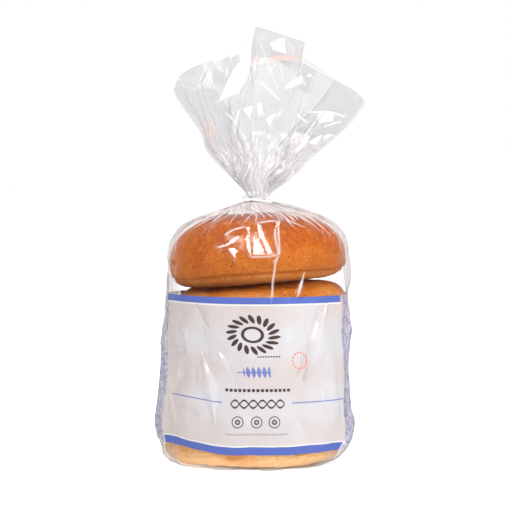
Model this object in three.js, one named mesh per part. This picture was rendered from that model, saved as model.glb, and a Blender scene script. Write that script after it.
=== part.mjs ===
// Clear film bag that holds a stack of four bagels. The film hugs the stack, is gathered to a narrow
// neck, and opens again above it into a flattened, creased fan with a cut lip on the back panel. A flat
// plastic clip holds the neck. The bag is one solid out to its outer form, and the clip is the other.
// Millimetres, +Z up. The origin is on the table, under the middle of the pack's outline.

import * as THREE from 'three';

// Neck and clip
const NECK_X = -1.5;              // the gather sits a little left of the middle
const NECK_RADIUS = 4.6;          // film squeezed in the clip's hole
const NECK_BOTTOM = 166.8;
const NECK_TOP = 171.8;
const CLIP_SIZE = 20;
const CLIP_CORNER = 3.5;
const CLIP_THICKNESS = 1.1;
const CLIP_HOLE_RADIUS = 5.1;
const CLIP_THROAT = 3.6;          // width of the slot that the gather is pushed through
const CLIP_HEIGHT = 169.3;
const CLIP_ROLL = THREE.MathUtils.degToRad(7);     // right side down
const CLIP_PITCH = THREE.MathUtils.degToRad(3.5);  // front edge down

// Filled body, seen from the front: height, left edge and right edge
const BODY_OUTLINE = [
  [0, -50, 43],
  [1.6, -56.5, 49],
  [6, -63, 54.5],
  [15, -67.2, 58.2],
  [27, -68.8, 60.5],
  [52, -66.6, 58.8],
  [72, -64, 58.5],
  [105, -62.6, 58.5],
  [124, -61.4, 57.6],
  [138, -59.8, 55.8],
  [147, -55.4, 54],
  [154.5, -46.8, 47.8],
  [161, -31.5, 35],
  [165, -19, 22.5],
  [166, -11, 9.5],
  [NECK_BOTTOM, NECK_X - NECK_RADIUS, NECK_X + NECK_RADIUS],
];
const BODY_HALF_DEPTH = 60;       // the film is drawn tight over the stack at the front and the back
const BODY_RINGS = 30;

// The bag is a flat front and back panel joined by two tucked side gussets. Their four folds and the two
// gusset centres run up the body, turned a little to the left. Angles are about +Z from +X.
const PANEL_TURN = -5;
const PANEL_HALF_ANGLE = 65;
const FOLD_RIDGE = 1.0;
const GUSSET_VALLEY = 0.9;
const FOLD_WIDTH = 12;            // degrees either side

// Pleats radiate from the neck, over the shoulder and up the fan
const PLEATS = 18;
const SHOULDER_START = 138;
const SHOULDER_PLEAT = 1.5;
const FAN_PLEAT = 2.6;

// Fan above the neck, seen from the front as (x, z): its side edges, and the rims of the two panels
const FAN_LEFT_CORNER = [-55.9, 241];
const FAN_RIGHT_CORNER = [68.3, 231.8];
const FAN_LEFT_EDGE = [[-19.5, 184.7], [-34, 200.5], [-38.5, 213], [-52.5, 233]];
const FAN_RIGHT_EDGE = [[22, 184.7], [37.5, 200], [56, 216]];
const RIM_LEFT = [[-51, 250], [-38, 257.2], [-22, 262.7]];
const FRONT_RIM_MIDDLE = [[-8, 260.5], [14, 263.2], [27, 260]];
const RIM_RIGHT = [[44.6, 249], [62, 239]];
const LIP_LEFT_FOOT = [-5.6, 271.5];
const LIP_TOP_LEFT = [-2.9, 282.6];
const LIP_TOP_RIGHT = [29.4, 272.2];
const LIP_RIGHT_FOOT = [27, 259];
const FAN_RINGS = 12;
const FAN_HALF_DEPTH = 14;        // half of the front-to-back size at the fan's widest
const RIM_HALF_DEPTH = 7;         // the same at the rim
const RIM_CORNER_REACH = 0.02;    // share of the rim's length within which a point moves to a sharp corner

const SIDES = 72;

const vector = ([x, z]) => new THREE.Vector2(x, z);
const triangleWave = (turns) => 1 - 4 * Math.abs(turns - Math.floor(turns) - 0.5);
const bump = (distance, width) => Math.max(0, 1 - Math.abs(distance) / width);

// Signed difference of two angles, in degrees
function turnBetween(a, b) {
  return THREE.MathUtils.euclideanModulo(a - b + 180, 360) - 180;
}

// Relief of the panel folds and gusset centres round the body, outwards positive
function foldRelief(degrees) {
  let relief = 0;
  for (const panel of [-90, 90]) {
    for (const side of [-1, 1]) {
      const fold = panel + PANEL_TURN + side * PANEL_HALF_ANGLE;
      relief += FOLD_RIDGE * bump(turnBetween(degrees, fold), FOLD_WIDTH);
    }
    const gusset = panel + 90 + PANEL_TURN;
    relief -= GUSSET_VALLEY * bump(turnBetween(degrees, gusset), FOLD_WIDTH);
  }
  return relief;
}

// Uneven radiating pleats: each angle has its own height
function pleatRelief(degrees) {
  const angle = THREE.MathUtils.degToRad(degrees);
  const unevenness = 0.65 + 0.25 * Math.sin(3 * angle + 1) + 0.1 * Math.sin(7 * angle);
  return unevenness * triangleWave((degrees / 360) * PLEATS);
}

// Rings of the filled body, from the flat base up to the neck
function bodyRings() {
  const outline = new THREE.CatmullRomCurve3(
    BODY_OUTLINE.map(([height, left, right]) => new THREE.Vector3(left, right, height)),
  );
  const rings = [];
  for (let i = 0; i <= BODY_RINGS; i++) {
    const row = outline.getPointAt(i / BODY_RINGS);
    const tangent = outline.getTangentAt(i / BODY_RINGS);
    const halfWidth = (row.y - row.x) / 2;
    const slope = new THREE.Vector2(tangent.z, (tangent.x - tangent.y) / 2).normalize();
    const aboveBase = THREE.MathUtils.smoothstep(row.z, 1, 30);
    const belowShoulder = 1 - THREE.MathUtils.smoothstep(row.z, SHOULDER_START, 160);
    const onShoulder = THREE.MathUtils.smoothstep(row.z, SHOULDER_START, 158)
      * THREE.MathUtils.smoothstep(halfWidth, NECK_RADIUS + 5, NECK_RADIUS + 16);
    const ring = [];
    for (let side = 0; side < SIDES; side++) {
      const degrees = (side / SIDES) * 360;
      const angle = THREE.MathUtils.degToRad(degrees);
      const relief = foldRelief(degrees) * aboveBase * belowShoulder
        + SHOULDER_PLEAT * pleatRelief(degrees) * onShoulder;
      ring.push(new THREE.Vector3(
        (row.x + row.y) / 2 + (halfWidth + relief * slope.x) * Math.cos(angle),
        (Math.min(halfWidth, BODY_HALF_DEPTH) + relief * slope.x) * Math.sin(angle),
        row.z + relief * slope.y,
      ));
    }
    rings.push(ring);
  }
  return rings;
}

// Rim of one panel, from the left corner of the fan to its right corner
function rimPath(middle) {
  const path = new THREE.Path();
  path.moveTo(...FAN_LEFT_CORNER);
  path.splineThru(RIM_LEFT.map(vector));
  middle(path);
  path.splineThru([...RIM_RIGHT, FAN_RIGHT_CORNER].map(vector));
  return path;
}

// Point of a rim at a share of its length, moved to the nearest sharp corner if that is close
function rimPoint(path, share) {
  const lengths = path.getCurveLengths();
  const corners = lengths.map((length) => length / lengths.at(-1));
  const near = corners.find((corner) => Math.abs(corner - share) < RIM_CORNER_REACH);
  return path.getPointAt(near ?? share);
}

function lipOutline(path) {
  path.lineTo(...LIP_LEFT_FOOT);
  path.lineTo(...LIP_TOP_LEFT);
  path.lineTo(...LIP_TOP_RIGHT);
  path.lineTo(...LIP_RIGHT_FOOT);
}

// Rings of the fan above the neck. Each half of a ring is spread between the fan's side edges, its
// panel's rim and the neck, as a Coons patch in the (x, z) plane, and then given its depth and pleats.
function fanRings() {
  const neckLeft = [NECK_X - NECK_RADIUS, NECK_TOP];
  const neckRight = [NECK_X + NECK_RADIUS, NECK_TOP];
  const leftEdge = new THREE.SplineCurve([neckLeft, ...FAN_LEFT_EDGE, FAN_LEFT_CORNER].map(vector));
  const rightEdge = new THREE.SplineCurve([neckRight, ...FAN_RIGHT_EDGE, FAN_RIGHT_CORNER].map(vector));
  const frontRim = rimPath((path) => path.splineThru(FRONT_RIM_MIDDLE.map(vector)));
  const backRim = rimPath(lipOutline);
  const corner = { left: vector(FAN_LEFT_CORNER), right: vector(FAN_RIGHT_CORNER) };
  const rings = [];
  for (let i = 0; i <= FAN_RINGS; i++) {
    const rise = i / FAN_RINGS;
    const left = leftEdge.getPointAt(rise);
    const right = rightEdge.getPointAt(rise);
    const halfDepth = THREE.MathUtils.lerp(NECK_RADIUS, RIM_HALF_DEPTH, rise)
      + (FAN_HALF_DEPTH - RIM_HALF_DEPTH) * Math.sin(Math.PI * rise);
    const ring = [];
    for (let side = 0; side < SIDES; side++) {
      const degrees = (side / SIDES) * 360;
      const angle = THREE.MathUtils.degToRad(degrees);
      const across = (1 + Math.cos(angle)) / 2;
      const rim = rimPoint(degrees > 180 ? frontRim : backRim, across);
      const neck = vector(neckLeft).lerp(vector(neckRight), across);
      const edges = left.clone().lerp(right, across);
      const ends = neck.clone().lerp(rim, rise);
      const corners = vector(neckLeft).lerp(vector(neckRight), across)
        .lerp(corner.left.clone().lerp(corner.right, across), rise);
      const point = edges.add(ends).sub(corners);
      const pleat = FAN_PLEAT * pleatRelief(degrees) * Math.sin(Math.PI * Math.min(1, rise * 1.25) ** 0.8);
      const depth = (halfDepth + pleat) * Math.sin(angle);
      ring.push(new THREE.Vector3(point.x, depth, point.y));
    }
    rings.push(ring);
  }
  return rings;
}

// Closed skin over rings of SIDES points: a flat fan under the first, and the last one's back half
// joined to its front half
function skinRings(rings) {
  const positions = rings.flat().flatMap((point) => point.toArray());
  const faces = [];
  for (let ring = 0; ring + 1 < rings.length; ring++) {
    for (let side = 0; side < SIDES; side++) {
      const next = (side + 1) % SIDES;
      const low = ring * SIDES;
      const high = low + SIDES;
      faces.push([low + side, low + next, high + next], [low + side, high + next, high + side]);
    }
  }
  const base = new THREE.Vector3();
  rings[0].forEach((point) => base.addScaledVector(point, 1 / SIDES));
  const centre = positions.length / 3;
  positions.push(...base.toArray());
  for (let side = 0; side < SIDES; side++) {
    faces.push([centre, (side + 1) % SIDES, side]);
  }
  const last = (rings.length - 1) * SIDES;
  for (let side = 0; side < SIDES / 2; side++) {
    const back = [last + side, last + side + 1];
    const front = [last + (SIDES - side) % SIDES, last + SIDES - side - 1];
    if (side > 0) faces.push([front[0], back[0], back[1]]);
    if (side + 1 < SIDES / 2) faces.push([front[0], back[1], front[1]]);
  }
  const geometry = new THREE.BufferGeometry();
  geometry.setAttribute('position', new THREE.Float32BufferAttribute(positions, 3));
  geometry.setIndex(faces.flat());
  geometry.computeVertexNormals();
  return geometry;
}

function bagMesh() {
  const material = new THREE.MeshStandardMaterial({ color: 0xe6dfe0, roughness: 0.2, metalness: 0 });
  const mesh = new THREE.Mesh(skinRings([...bodyRings(), ...fanRings()]), material);
  mesh.name = 'bag';
  return mesh;
}

// Square clip with round corners, a round hole for the gather, and a throat open at the back edge
function clipMesh() {
  const half = CLIP_SIZE / 2;
  const throatHalf = CLIP_THROAT / 2;
  const throatAngle = Math.asin(throatHalf / CLIP_HOLE_RADIUS);
  const outline = new THREE.Shape();
  outline.moveTo(-throatHalf, half);
  outline.lineTo(-half + CLIP_CORNER, half);
  outline.absarc(-half + CLIP_CORNER, half - CLIP_CORNER, CLIP_CORNER, Math.PI / 2, Math.PI);
  outline.absarc(-half + CLIP_CORNER, -half + CLIP_CORNER, CLIP_CORNER, Math.PI, 1.5 * Math.PI);
  outline.absarc(half - CLIP_CORNER, -half + CLIP_CORNER, CLIP_CORNER, 1.5 * Math.PI, 2 * Math.PI);
  outline.absarc(half - CLIP_CORNER, half - CLIP_CORNER, CLIP_CORNER, 0, Math.PI / 2);
  outline.lineTo(throatHalf, half);
  outline.absarc(0, 0, CLIP_HOLE_RADIUS, Math.PI / 2 - throatAngle, Math.PI / 2 + throatAngle, true);
  const geometry = new THREE.ExtrudeGeometry(outline, {
    depth: CLIP_THICKNESS,
    bevelEnabled: false,
    curveSegments: 8,
  });
  geometry.translate(0, 0, -CLIP_THICKNESS / 2);
  const material = new THREE.MeshStandardMaterial({ color: 0xf4f3f1, roughness: 0.4, metalness: 0 });
  const mesh = new THREE.Mesh(geometry, material);
  mesh.name = 'bag_clip';
  mesh.position.set(NECK_X, 0, CLIP_HEIGHT);
  mesh.rotation.set(CLIP_PITCH, CLIP_ROLL, 0);
  return mesh;
}

const pack = new THREE.Group();
pack.add(bagMesh(), clipMesh());

export default pack;
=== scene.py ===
"""Four bagels in a clear printed film bag, gathered to a neck and held by a flat plastic clip.

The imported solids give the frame. The film is one surface in three pieces, shaped ring by ring: under
the stack and up its side, over the top bagel, and through the neck out into a creased fan. Sizes are
millimetres until a mesh is made.
"""

import math

import bmesh
import bpy
import numpy as np
from mathutils import Matrix, Vector


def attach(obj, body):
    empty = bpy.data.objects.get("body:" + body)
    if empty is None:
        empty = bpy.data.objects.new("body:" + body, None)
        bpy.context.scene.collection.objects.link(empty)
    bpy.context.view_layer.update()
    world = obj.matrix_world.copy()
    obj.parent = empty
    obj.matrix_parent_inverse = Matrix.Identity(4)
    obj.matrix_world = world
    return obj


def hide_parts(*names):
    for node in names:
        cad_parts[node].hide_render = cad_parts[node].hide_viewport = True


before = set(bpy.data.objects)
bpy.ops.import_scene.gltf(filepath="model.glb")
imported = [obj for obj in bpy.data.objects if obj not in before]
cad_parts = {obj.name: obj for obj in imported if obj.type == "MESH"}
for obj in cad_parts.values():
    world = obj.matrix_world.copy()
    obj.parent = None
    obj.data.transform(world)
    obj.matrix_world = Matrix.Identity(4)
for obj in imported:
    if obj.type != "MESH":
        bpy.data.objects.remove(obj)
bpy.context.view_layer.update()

MM = 0.001

# ---------------------------------------------------------------- sizes

# Bagels from the top one down. The middle is the widest level, the crown rises above it and the sole
# lies below it, thicker towards the left by its lean. The two powers set how square the shoulder and
# the lower corner are, and pale is how far up the crust stays light.
BAGELS = [
    # The top bagel's pale is set low, painted shade that keeps its foot from going pale, and it also picks
    # that bagel out for the painted shade laid on its lower half.
    dict(middle=(-0.9, 0.0, 132.1), radius=57.4, crown=28.4, sole=17.0, tilt=2.2, lean=0.18,
         powers=(1.85, 3.6), pale=-0.03),
    # The second bagel's pale is set high, painted light: its whole crust comes out lighter to make up for
    # the shade of the top bagel above it.
    dict(middle=(1.5, 0.6, 93.2), radius=55.4, crown=22.6, sole=16.4, tilt=3.2, lean=0.0,
         powers=(3.8, 2.8), pale=0.78),
    dict(middle=(-2.6, -0.4, 53.6), radius=56.0, crown=22.4, sole=16.4, tilt=1.4, lean=0.0,
         powers=(2.4, 2.8), pale=0.2),
    dict(middle=(-5.0, 0.0, 15.8), radius=57.0, crown=21.0, sole=15.4, tilt=0.0, lean=0.0,
         powers=(2.3, 4.5), pale=0.45),
]
RING_CENTRE = 20.0     # radius at which a bagel's crown is highest
HOLE_RADIUS = 7.0
FLOOR_GAP = 0.4        # from the floor to the lowest bagel
SECTION_POINTS = 48
SPIN_STEPS = 100
FINE_CUTS = 3

# Bag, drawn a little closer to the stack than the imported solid. Body rows are (height, left edge,
# right edge).
NECK_X = -1.5
NECK_RADIUS = 4.6
NECK_BOTTOM = 168.3
NECK_TOP = 170.5
BODY_OUTLINE = [
    (0.6, -6, -1),
    (0.4, -28, 19),
    (0, -55, 44),
    (1.2, -60, 49.5),
    (5, -64, 54.5),
    (15, -67.0, 59.4),
    (27, -68.0, 61.6),
    (47, -65.6, 60.0),
    (63, -62.6, 58.8),
    (81, -60.2, 58.5),
    (95, -59.2, 58.5),
    (105, -60.0, 58.5),
    (124, -59.6, 57.9),
    (138, -58.6, 56.5),
    (147, -54.8, 54.2),
    (154.5, -46.8, 47.8),
    (161, -31.5, 35),
    (165.6, -17.5, 20.5),
    (167.8, -11, 8.6),
    (NECK_BOTTOM, NECK_X - NECK_RADIUS, NECK_X + NECK_RADIUS),
]
BODY_HALF_DEPTH = 59.4
BODY_GIRTH = 384.0     # film that the full body takes up
LOWEST_FILM = 0.05     # above the floor

# Panels round the bag from the front on: width of each and of its mesh columns, and the angles where
# they start from the front's left fold on. The left fold turns to the front towards the base.
PANELS = {
    "front": (146.0, 0.56),
    "right_gusset": (50.0, 0.8),
    "back": (146.0, 0.9),
    "left_gusset": (50.0, 0.8),
}
PANEL_ANGLES = [-165.0, -28.5, 18.0, 150.0, 195.0]
LOW_FOLD_TURN = 11.0
FILM_CLEARANCE = 1.0   # from the film to the smooth form of a bagel

# Fan above the neck, seen from the front as (x, z)
FAN_LEFT_CORNER = (-55.9, 241)
FAN_RIGHT_CORNER = (68.3, 231.8)
FAN_LEFT_EDGE = [(-8.6, 171.8), (-10.2, 175), (-19.5, 184.7), (-34, 200.5), (-38.5, 213), (-52.5, 233)]
FAN_RIGHT_EDGE = [(6.0, 171.8), (8.6, 175), (22, 184.7), (37.5, 200), (56, 216)]
RIM_LEFT = [(-51, 250), (-38, 257.2), (-22, 261.2), (-12, 266.5), (-5.4, 270.6)]
FRONT_RIM_MIDDLE = [(-5.6, 258.2), (4, 260.4), (15.4, 262.2), (27, 260.3), (35.3, 256.1)]
RIM_RIGHT = [(44.6, 249), (62, 239)]
LIP = [(-5.4, 271.5), (-2.9, 282.6), (29.4, 272.2), (27, 259)]
FAN_LENGTH = 100.0
FAN_HALF_DEPTH = 13.0
RIM_HALF_DEPTH = 7.0
FAN_FOLD_GAP = 1.6
FAN_CALM = (8.0, 242.0)        # the middle of a smooth place in it
FAN_CALM_REACH = (16.0, 22.0)  # how far that reaches to the side and up
GUSSET_TUCK = 20.0

# Mesh rows of the film: base, printed field, clear top, neck, fan
BASE_ROWS = 36
FIELD_ROWS = 100
TOP_ROWS = 130
NECK_ROWS = 5
FAN_ROWS = 160

# Print on the film, by the length up the film
FIELD_BOTTOM = 9.0
FIELD_TOP = 108.6
BAND = 4.2             # width of the blue band at the field's top
LOW_BAND = 5.4         # and of the one at its bottom
PRINT_CENTRE = 76.0    # across the front panel
PEACH_MIDDLE = 84.0    # across the front rim
LIP_MIDDLE = 270.0     # across the back rim
OFF_PANEL = 1000.0     # far enough across to leave an ornament off a panel

# The film is drawn up towards the left fold, most at the base: (height, how far)
DRAWN_UP = [(0, 0.0), (4, 1.0), (9, 4.6), (42, 3.8), (75, 1.6), (108, 0.6), (125, 0.0)]

# Where the film is pulled flat between creases, so that it mirrors the key light: the corners of each
# place seen from the front as (x, z), after how far its face leans up, in degrees.
TAUT_TURN = -9.0       # all of them turn a little to the left
BAG_FLANK = 2.2        # slope at which the film falls away round a flat place of the bag
FAN_FLANK = 1.1        # and round one of the fan
TAUT_SPREAD = 4.0      # how far it may do so
TAUT_REACH = 0.96      # share of the film in the place that lies below the flat face at first
BEHIND_FAN = -40.0     # a depth behind all of the fan
TAUT_SHOULDER = [
    (31, [(-10.4, 152.1), (-5.8, 152.1), (-6.6, 149.1), (-7.8, 149.1)],
         [(-7.9, 150.3), (-6.1, 150.6), (-7.2, 144.4), (-8.8, 143.8)],
         [(-8.9, 145.0), (-7.3, 145.3), (-5.2, 139.4), (-5.0, 134.0), (-7.2, 134.7), (-9.1, 139.4)]),
    (30.5, [(-2.5, 155.5), (-0.1, 155.1), (3.2, 145.3), (0.5, 144.1), (-1.9, 149.4)],
         [(0.5, 145.3), (3.0, 146.0), (9.1, 134.8), (4.2, 134.4), (1.4, 141.0)]),
    (28, [(-3.5, 146.3), (-0.4, 143.2), (4.2, 134.3), (-4.6, 134.0), (-4.8, 141.9)]),
    (31, [(9.6, 155.5), (12.7, 155.5), (11.8, 151.5), (9.3, 150.6)]),
    (30, [(-28.5, 140.1), (-20.9, 142.0), (-20.0, 139.6), (-25.7, 138.0)],
         [(-21.2, 141.9), (-12.9, 146.8), (-13.0, 144.9), (-15.8, 141.9), (-20.3, 139.4)]),
    (26, [(-21.4, 138.6), (-14.3, 138.8), (-15.2, 130.9)]),
    (21, [(27.7, 122.4), (24.4, 109.5), (20.5, 109.5)]),
]
TAUT_LIP = [(22, [(5.8, 272.3), (16.3, 274.3), (17.6, 263.7), (7.8, 267.0)])]
TAUT_FAN = [
    (18, [(-4.4, 263.6), (-9.5, 261.2), (-16.4, 253.9), (-22.0, 242.0), (-26.4, 232.0),
          (-14.2, 237.3), (-6.2, 250.5)]),
    (20, [(16.3, 240.1), (23.2, 247.5), (27.1, 248.9), (27.6, 244.1), (22.7, 242.1)]),
    (20, [(29.1, 248), (32.5, 250.9), (33.5, 248)]),
    (20, [(-11.3, 226.8), (-4.0, 229.5), (-7.0, 222.0)]),
    (20, [(-1.5, 231.0), (1.1, 230.6), (1.5, 223.9), (-1.5, 222.5)]),
    (20, [(36, 226.2), (48.2, 224.5), (46, 219.5), (38, 218.5)]),
    (20, [(30.0, 206.2), (40.5, 210.8), (36.0, 204.6)]),
    (20, [(41.5, 211.4), (47.1, 211.0), (40.0, 207.2)]),
    (20, [(3.1, 221.5), (9, 222.7), (6, 216.1)]),
]

# Sharp creases of the film, seen from the front as (x, z). Their marks are painted as thin highlights.
SHOULDER_RIDGES = [
    [(-21.7, 147.1), (-17.6, 149.7), (-13.8, 151.0), (-10.4, 151.9)],
    [(-6.7, 134.1), (-3.8, 133.2), (1.1, 133.5), (6.1, 133.7), (11.2, 135.0)],
    [(9.2, 150.6), (9.6, 143.8), (11.1, 135.7)],
    [(11.4, 151.2), (11.7, 143.2), (12.0, 134.9)],
    [(-0.1, 154.4), (3.6, 155.2), (7.6, 155.6), (9.8, 155.3)],
    [(11.3, 133.6), (8.4, 130.4)],
    [(10.6, 132.0), (9.2, 128.9), (8.9, 125.5), (7.7, 118.3), (7.5, 111.5), (6.4, 104.1)],
]
# One broad crease down the right of the top bagel, its mark painted as a broad highlight
SHOULDER_WEDGE = [(27.6, 124.0), (25.6, 116.5), (22.2, 106.0)]
# Thin creases of gathered film, from the neck down
SHOULDER_THREADS = [
    [(10.5, 162.5), (14.5, 159.1), (17.7, 155.1), (22.8, 150.0)],
    [(12.0, 160.5), (18.6, 155.4), (25.1, 152.8), (31.0, 150.1)],
    [(17.0, 163.0), (29.3, 159.5), (38.3, 152.3), (46.5, 145.0)],
    [(14.0, 163.5), (31.0, 155.0), (40.0, 147.5)],
    [(-47.0, 152.0), (-38.0, 157.3), (-28.6, 160.6), (-13.0, 164.4)],
    [(-46.0, 148.5), (-34.0, 156.0), (-20.0, 160.5)],
    [(-3.0, 163.0), (-9.0, 155.5), (-12.0, 153.0)],
    [(-1.0, 163.0), (-2.5, 157.0), (-3.5, 152.0)],
]
# Lines, half width, height, and the share of a line over which it thins out at each end. The marks of all
# these creases are painted as highlights.
SHOULDER_CREASES = [
    (SHOULDER_RIDGES, 0.85, 0.6, 0.0),
    (SHOULDER_THREADS, 0.7, 0.3, 0.5),
    ([SHOULDER_WEDGE], 2.4, 0.5, 0.7),
]
# Creases of the fan, seen from the front as (x, z): the marks of its ridges are painted as highlights, those
# of its folds as shade
FRONT_FAN_RIDGES = [
    [(1.5, 243.6), (11.9, 233.3)],
    [(31.5, 225.5), (44.7, 225.5), (54, 223.3)],
    [(41.7, 216.1), (51.8, 219.7)],
    [(29.2, 210.8), (39.3, 223.9)],
    [(24.4, 223.2), (29.8, 219.1)],
    [(-13.6, 225.6), (-16.6, 216.1), (-16, 212.6)],
    [(-21.4, 224.5), (-14.8, 217.9)],
    [(-2.6, 262), (-3.4, 252)],
]
BACK_FAN_RIDGES = [
    [(0.6, 271.2), (12.8, 238.2)],
    [(14.3, 260.8), (4, 251.9)],
    [(13.9, 258.9), (14.8, 246.5)],
]
FRONT_FAN_FOLDS = [
    [(-4.3, 266.2), (-6.3, 250.4), (-8.3, 243.1), (-10.8, 240.6), (-14.7, 225.9)],
    [(-30.9, 259), (-38, 244.2), (-35.4, 232.6), (-26.4, 212), (-21.9, 200.1)],
    [(33.5, 247), (27.1, 236.2), (25.6, 228.8), (20.6, 212)],
    [(-20.7, 191.1), (-14.8, 182.8), (-5.9, 173.9)],
]
BACK_FAN_FOLDS = [[(28.6, 271.2), (25.2, 251.5), (19.3, 233.3)]]
# Soft folds of the printed front: half width, height, and points (x, z) from end to end. Their marks are
# painted on the print as highlights where a fold stands out and as shade where it lies in.
LABEL_FOLDS = [
    (2.2, -0.8, [(-58.7, 76.4), (-48.8, 76.4), (-46.7, 73.6)]),
    (2.2, -0.8, [(-57.4, 70.1), (-47.4, 72.2)]),
    (3.0, 0.9, [(-50.9, 90.6), (-48.2, 86.4), (-46, 79.3)]),
    (2.5, 0.9, [(-50.9, 63.7), (-54.5, 52.4)]),
    (1.6, 0.6, [(-38.2, 67.2), (-37.5, 51.7)]),
    (5.0, 1.3, [(-36.8, 73), (-29.7, 43.2), (-28.3, 29.8)]),
    (5.0, 1.1, [(-25.5, 73), (-19.9, 62.3)]),
    (4.5, -1.0, [(-49.6, 39.1), (-38.4, 34.1)]),
    (3.0, 0.9, [(-57.4, 47.4), (-53.1, 22.7)]),
    (4.0, -1.0, [(-39.7, 103.4), (-32.6, 89.2)]),
    (7.0, 1.6, [(42.1, 102.6), (36.4, 77.3), (27.9, 57.3)]),
    (4.0, -0.8, [(36, 101), (30, 78), (23, 60)]),
    (2.5, 0.7, [(49.2, 46.7), (40, 48.9), (39.3, 43.2), (50.6, 25.5)]),
]

# Clip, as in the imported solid
CLIP_SIZE = 20.0
CLIP_CORNER = 3.5
CLIP_THICKNESS = 1.1
CLIP_HOLE_RADIUS = 5.1
CLIP_THROAT = 3.6
CLIP_HEIGHT = 169.3
CLIP_ROLL = math.radians(7)
CLIP_PITCH = math.radians(3.5)

# Camera, as a lens on a 36 mm wide sensor
CAMERA_PLACE = (-2.6, -1150.0, 159.3)
CAMERA_LENS = 124.4
CAMERA_PITCH = math.radians(-1.33)


# ---------------------------------------------------------------- curves and fields

def smoothstep(value, low, high):
    t = np.clip((value - low) / (high - low), 0, 1)
    return t * t * (3 - 2 * t)


def mix(a, b, share):
    return a + (b - a) * share


def smooth_curve(points, steps=24):
    """Points along a Catmull-Rom curve through the given ones."""
    p = np.asarray(points, float)
    p = np.vstack([2 * p[0] - p[1], p, 2 * p[-1] - p[-2]])
    t = np.linspace(0, 1, steps, endpoint=False)[:, None]
    spans = []
    for a, b, c, d in zip(p, p[1:], p[2:], p[3:]):
        spans.append(0.5 * (2 * b + (c - a) * t + (2 * a - 5 * b + 4 * c - d) * t**2
                            + (3 * b - a - 3 * c + d) * t**3))
    return np.vstack([*spans, p[-2]])


def along(curve, shares):
    """Points of a polyline at shares of its length."""
    steps = np.linalg.norm(np.diff(curve, axis=0), axis=1)
    length = np.concatenate([[0], np.cumsum(steps)])
    return np.stack([np.interp(shares, length / length[-1], curve[:, k]) for k in range(curve.shape[1])], -1)


def curve_length(curve):
    return np.linalg.norm(np.diff(curve, axis=0), axis=1).sum()


def scattered(size, low, high, random):
    """Points a size apart, each moved at random in its own cell, over the girth and the given heights."""
    columns = max(3, round(GIRTH / size))
    rows = max(2, round((high - low) / size) + 3)
    column, row = np.meshgrid(np.arange(columns), np.arange(rows))
    x = (column + random.uniform(0, 1, column.shape)) * GIRTH / columns
    y = low + (row - 1 + random.uniform(0, 1, row.shape)) * size
    return np.stack([x.ravel(), y.ravel()], -1)


def facets(lengths, size, height, seed, stretch=1.0):
    """Flat facets between sharp creases, as crumpled film has: the difference of two fields, each the
    highest of many caps. size is across the film, and stretch makes the facets longer up the film."""
    random = np.random.default_rng(seed)
    up = lengths / stretch
    spread = size**2 / (2 * height)
    field = np.zeros((len(lengths), len(COLUMNS)))
    reach = 2.6 * size
    for sign in (1, -1):
        best = np.full(field.shape, -1e6)
        for x, y in scattered(size, up.min(), up.max(), random):
            lift = random.uniform(0, height / 2)
            rows = np.flatnonzero(np.abs(up - y) < reach)
            gap = (COLUMNS - x + GIRTH / 2) % GIRTH - GIRTH / 2
            columns = np.flatnonzero(np.abs(gap) < reach)
            if len(rows) == 0:
                continue
            cap = lift - (gap[columns][None, :] ** 2 + (up[rows][:, None] - y) ** 2) / (2 * spread)
            place = np.ix_(rows, columns)
            best[place] = np.maximum(best[place], cap)
        field += sign * best
    return field


# ---------------------------------------------------------------- bagels

def profile_ratio(bagel, radius, height):
    """How far out a point is in a bagel's section: 1 on the crust, less inside."""
    reach = np.where(radius > RING_CENTRE, bagel["radius"] - RING_CENTRE, RING_CENTRE - HOLE_RADIUS)
    rise = np.where(height > 0, bagel["crown"], bagel["sole"])
    power = np.where(height > 0, bagel["powers"][0], bagel["powers"][1])
    out = (np.abs(radius - RING_CENTRE) / reach) ** power + (np.abs(height) / rise) ** power
    return out ** (1 / power)


def push_off_bagels(points, margin):
    """Moves film points that are inside a bagel out to its crust, and margin clear of it."""
    for bagel in BAGELS:
        grown = dict(bagel, radius=bagel["radius"] + margin, crown=bagel["crown"] + margin,
                     sole=bagel["sole"] + margin)
        middle = np.array(bagel["middle"])
        roll = math.radians(-bagel["tilt"])
        turn = np.array(Matrix.Rotation(roll, 3, "Y"))
        local = (points - middle) @ turn
        radius = np.hypot(local[..., 0], local[..., 1])
        ratio = profile_ratio(grown, radius, local[..., 2])
        inside = (ratio < 1) & (radius > RING_CENTRE)
        factor = np.where(inside, 1 / np.maximum(ratio, 0.2), 1)
        new_radius = RING_CENTRE + (radius - RING_CENTRE) * factor
        scale = np.where(inside, new_radius / np.maximum(radius, 1e-6), 1)
        local = local * np.stack([scale, scale, factor], -1)
        points = local @ turn.T + middle
    return points


def lumps(points, size, seed):
    """Smooth random heights from -1 to 1, with lumps of about the given size."""
    table = np.random.default_rng(seed).uniform(-1, 1, (32, 32, 32))
    place = points / size
    cell = np.floor(place).astype(int)
    part = place - cell
    part = part * part * (3 - 2 * part)
    height = np.zeros(len(points))
    for corner in np.ndindex(2, 2, 2):
        share = np.prod(np.where(corner, part, 1 - part), axis=1)
        height += share * table[tuple(((cell + corner) % 32).T)]
    return height


def crust_relief(points, height, bagel, seed):
    """Lumps, pebbles and low wrinkles of one bagel's crust."""
    relief = 0.8 * lumps(points, 24, seed) + 0.45 * lumps(points, 10, seed + 1)
    relief += 0.16 * lumps(points, 2.3, seed + 2) + 0.1 * lumps(points, 1.2, seed + 3)
    low = np.clip(1 - height / (bagel["pale"] + 0.04), 0, 1)
    long = points / (10, 10, 2.4)
    folds = 0.5 - 1.6 * np.abs(lumps(long, 1, seed + 4)) - 0.5 * np.abs(lumps(long, 0.45, seed + 5))
    relief += np.sqrt(low) * folds
    if bagel is BAGELS[0]:
        relief += lower_crease(points, bagel)
    flat = (height < 0.06) & (np.hypot(points[:, 0], points[:, 1]) < 0.8 * bagel["radius"])
    return np.where(flat, np.minimum(relief, 0), relief)


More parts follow.
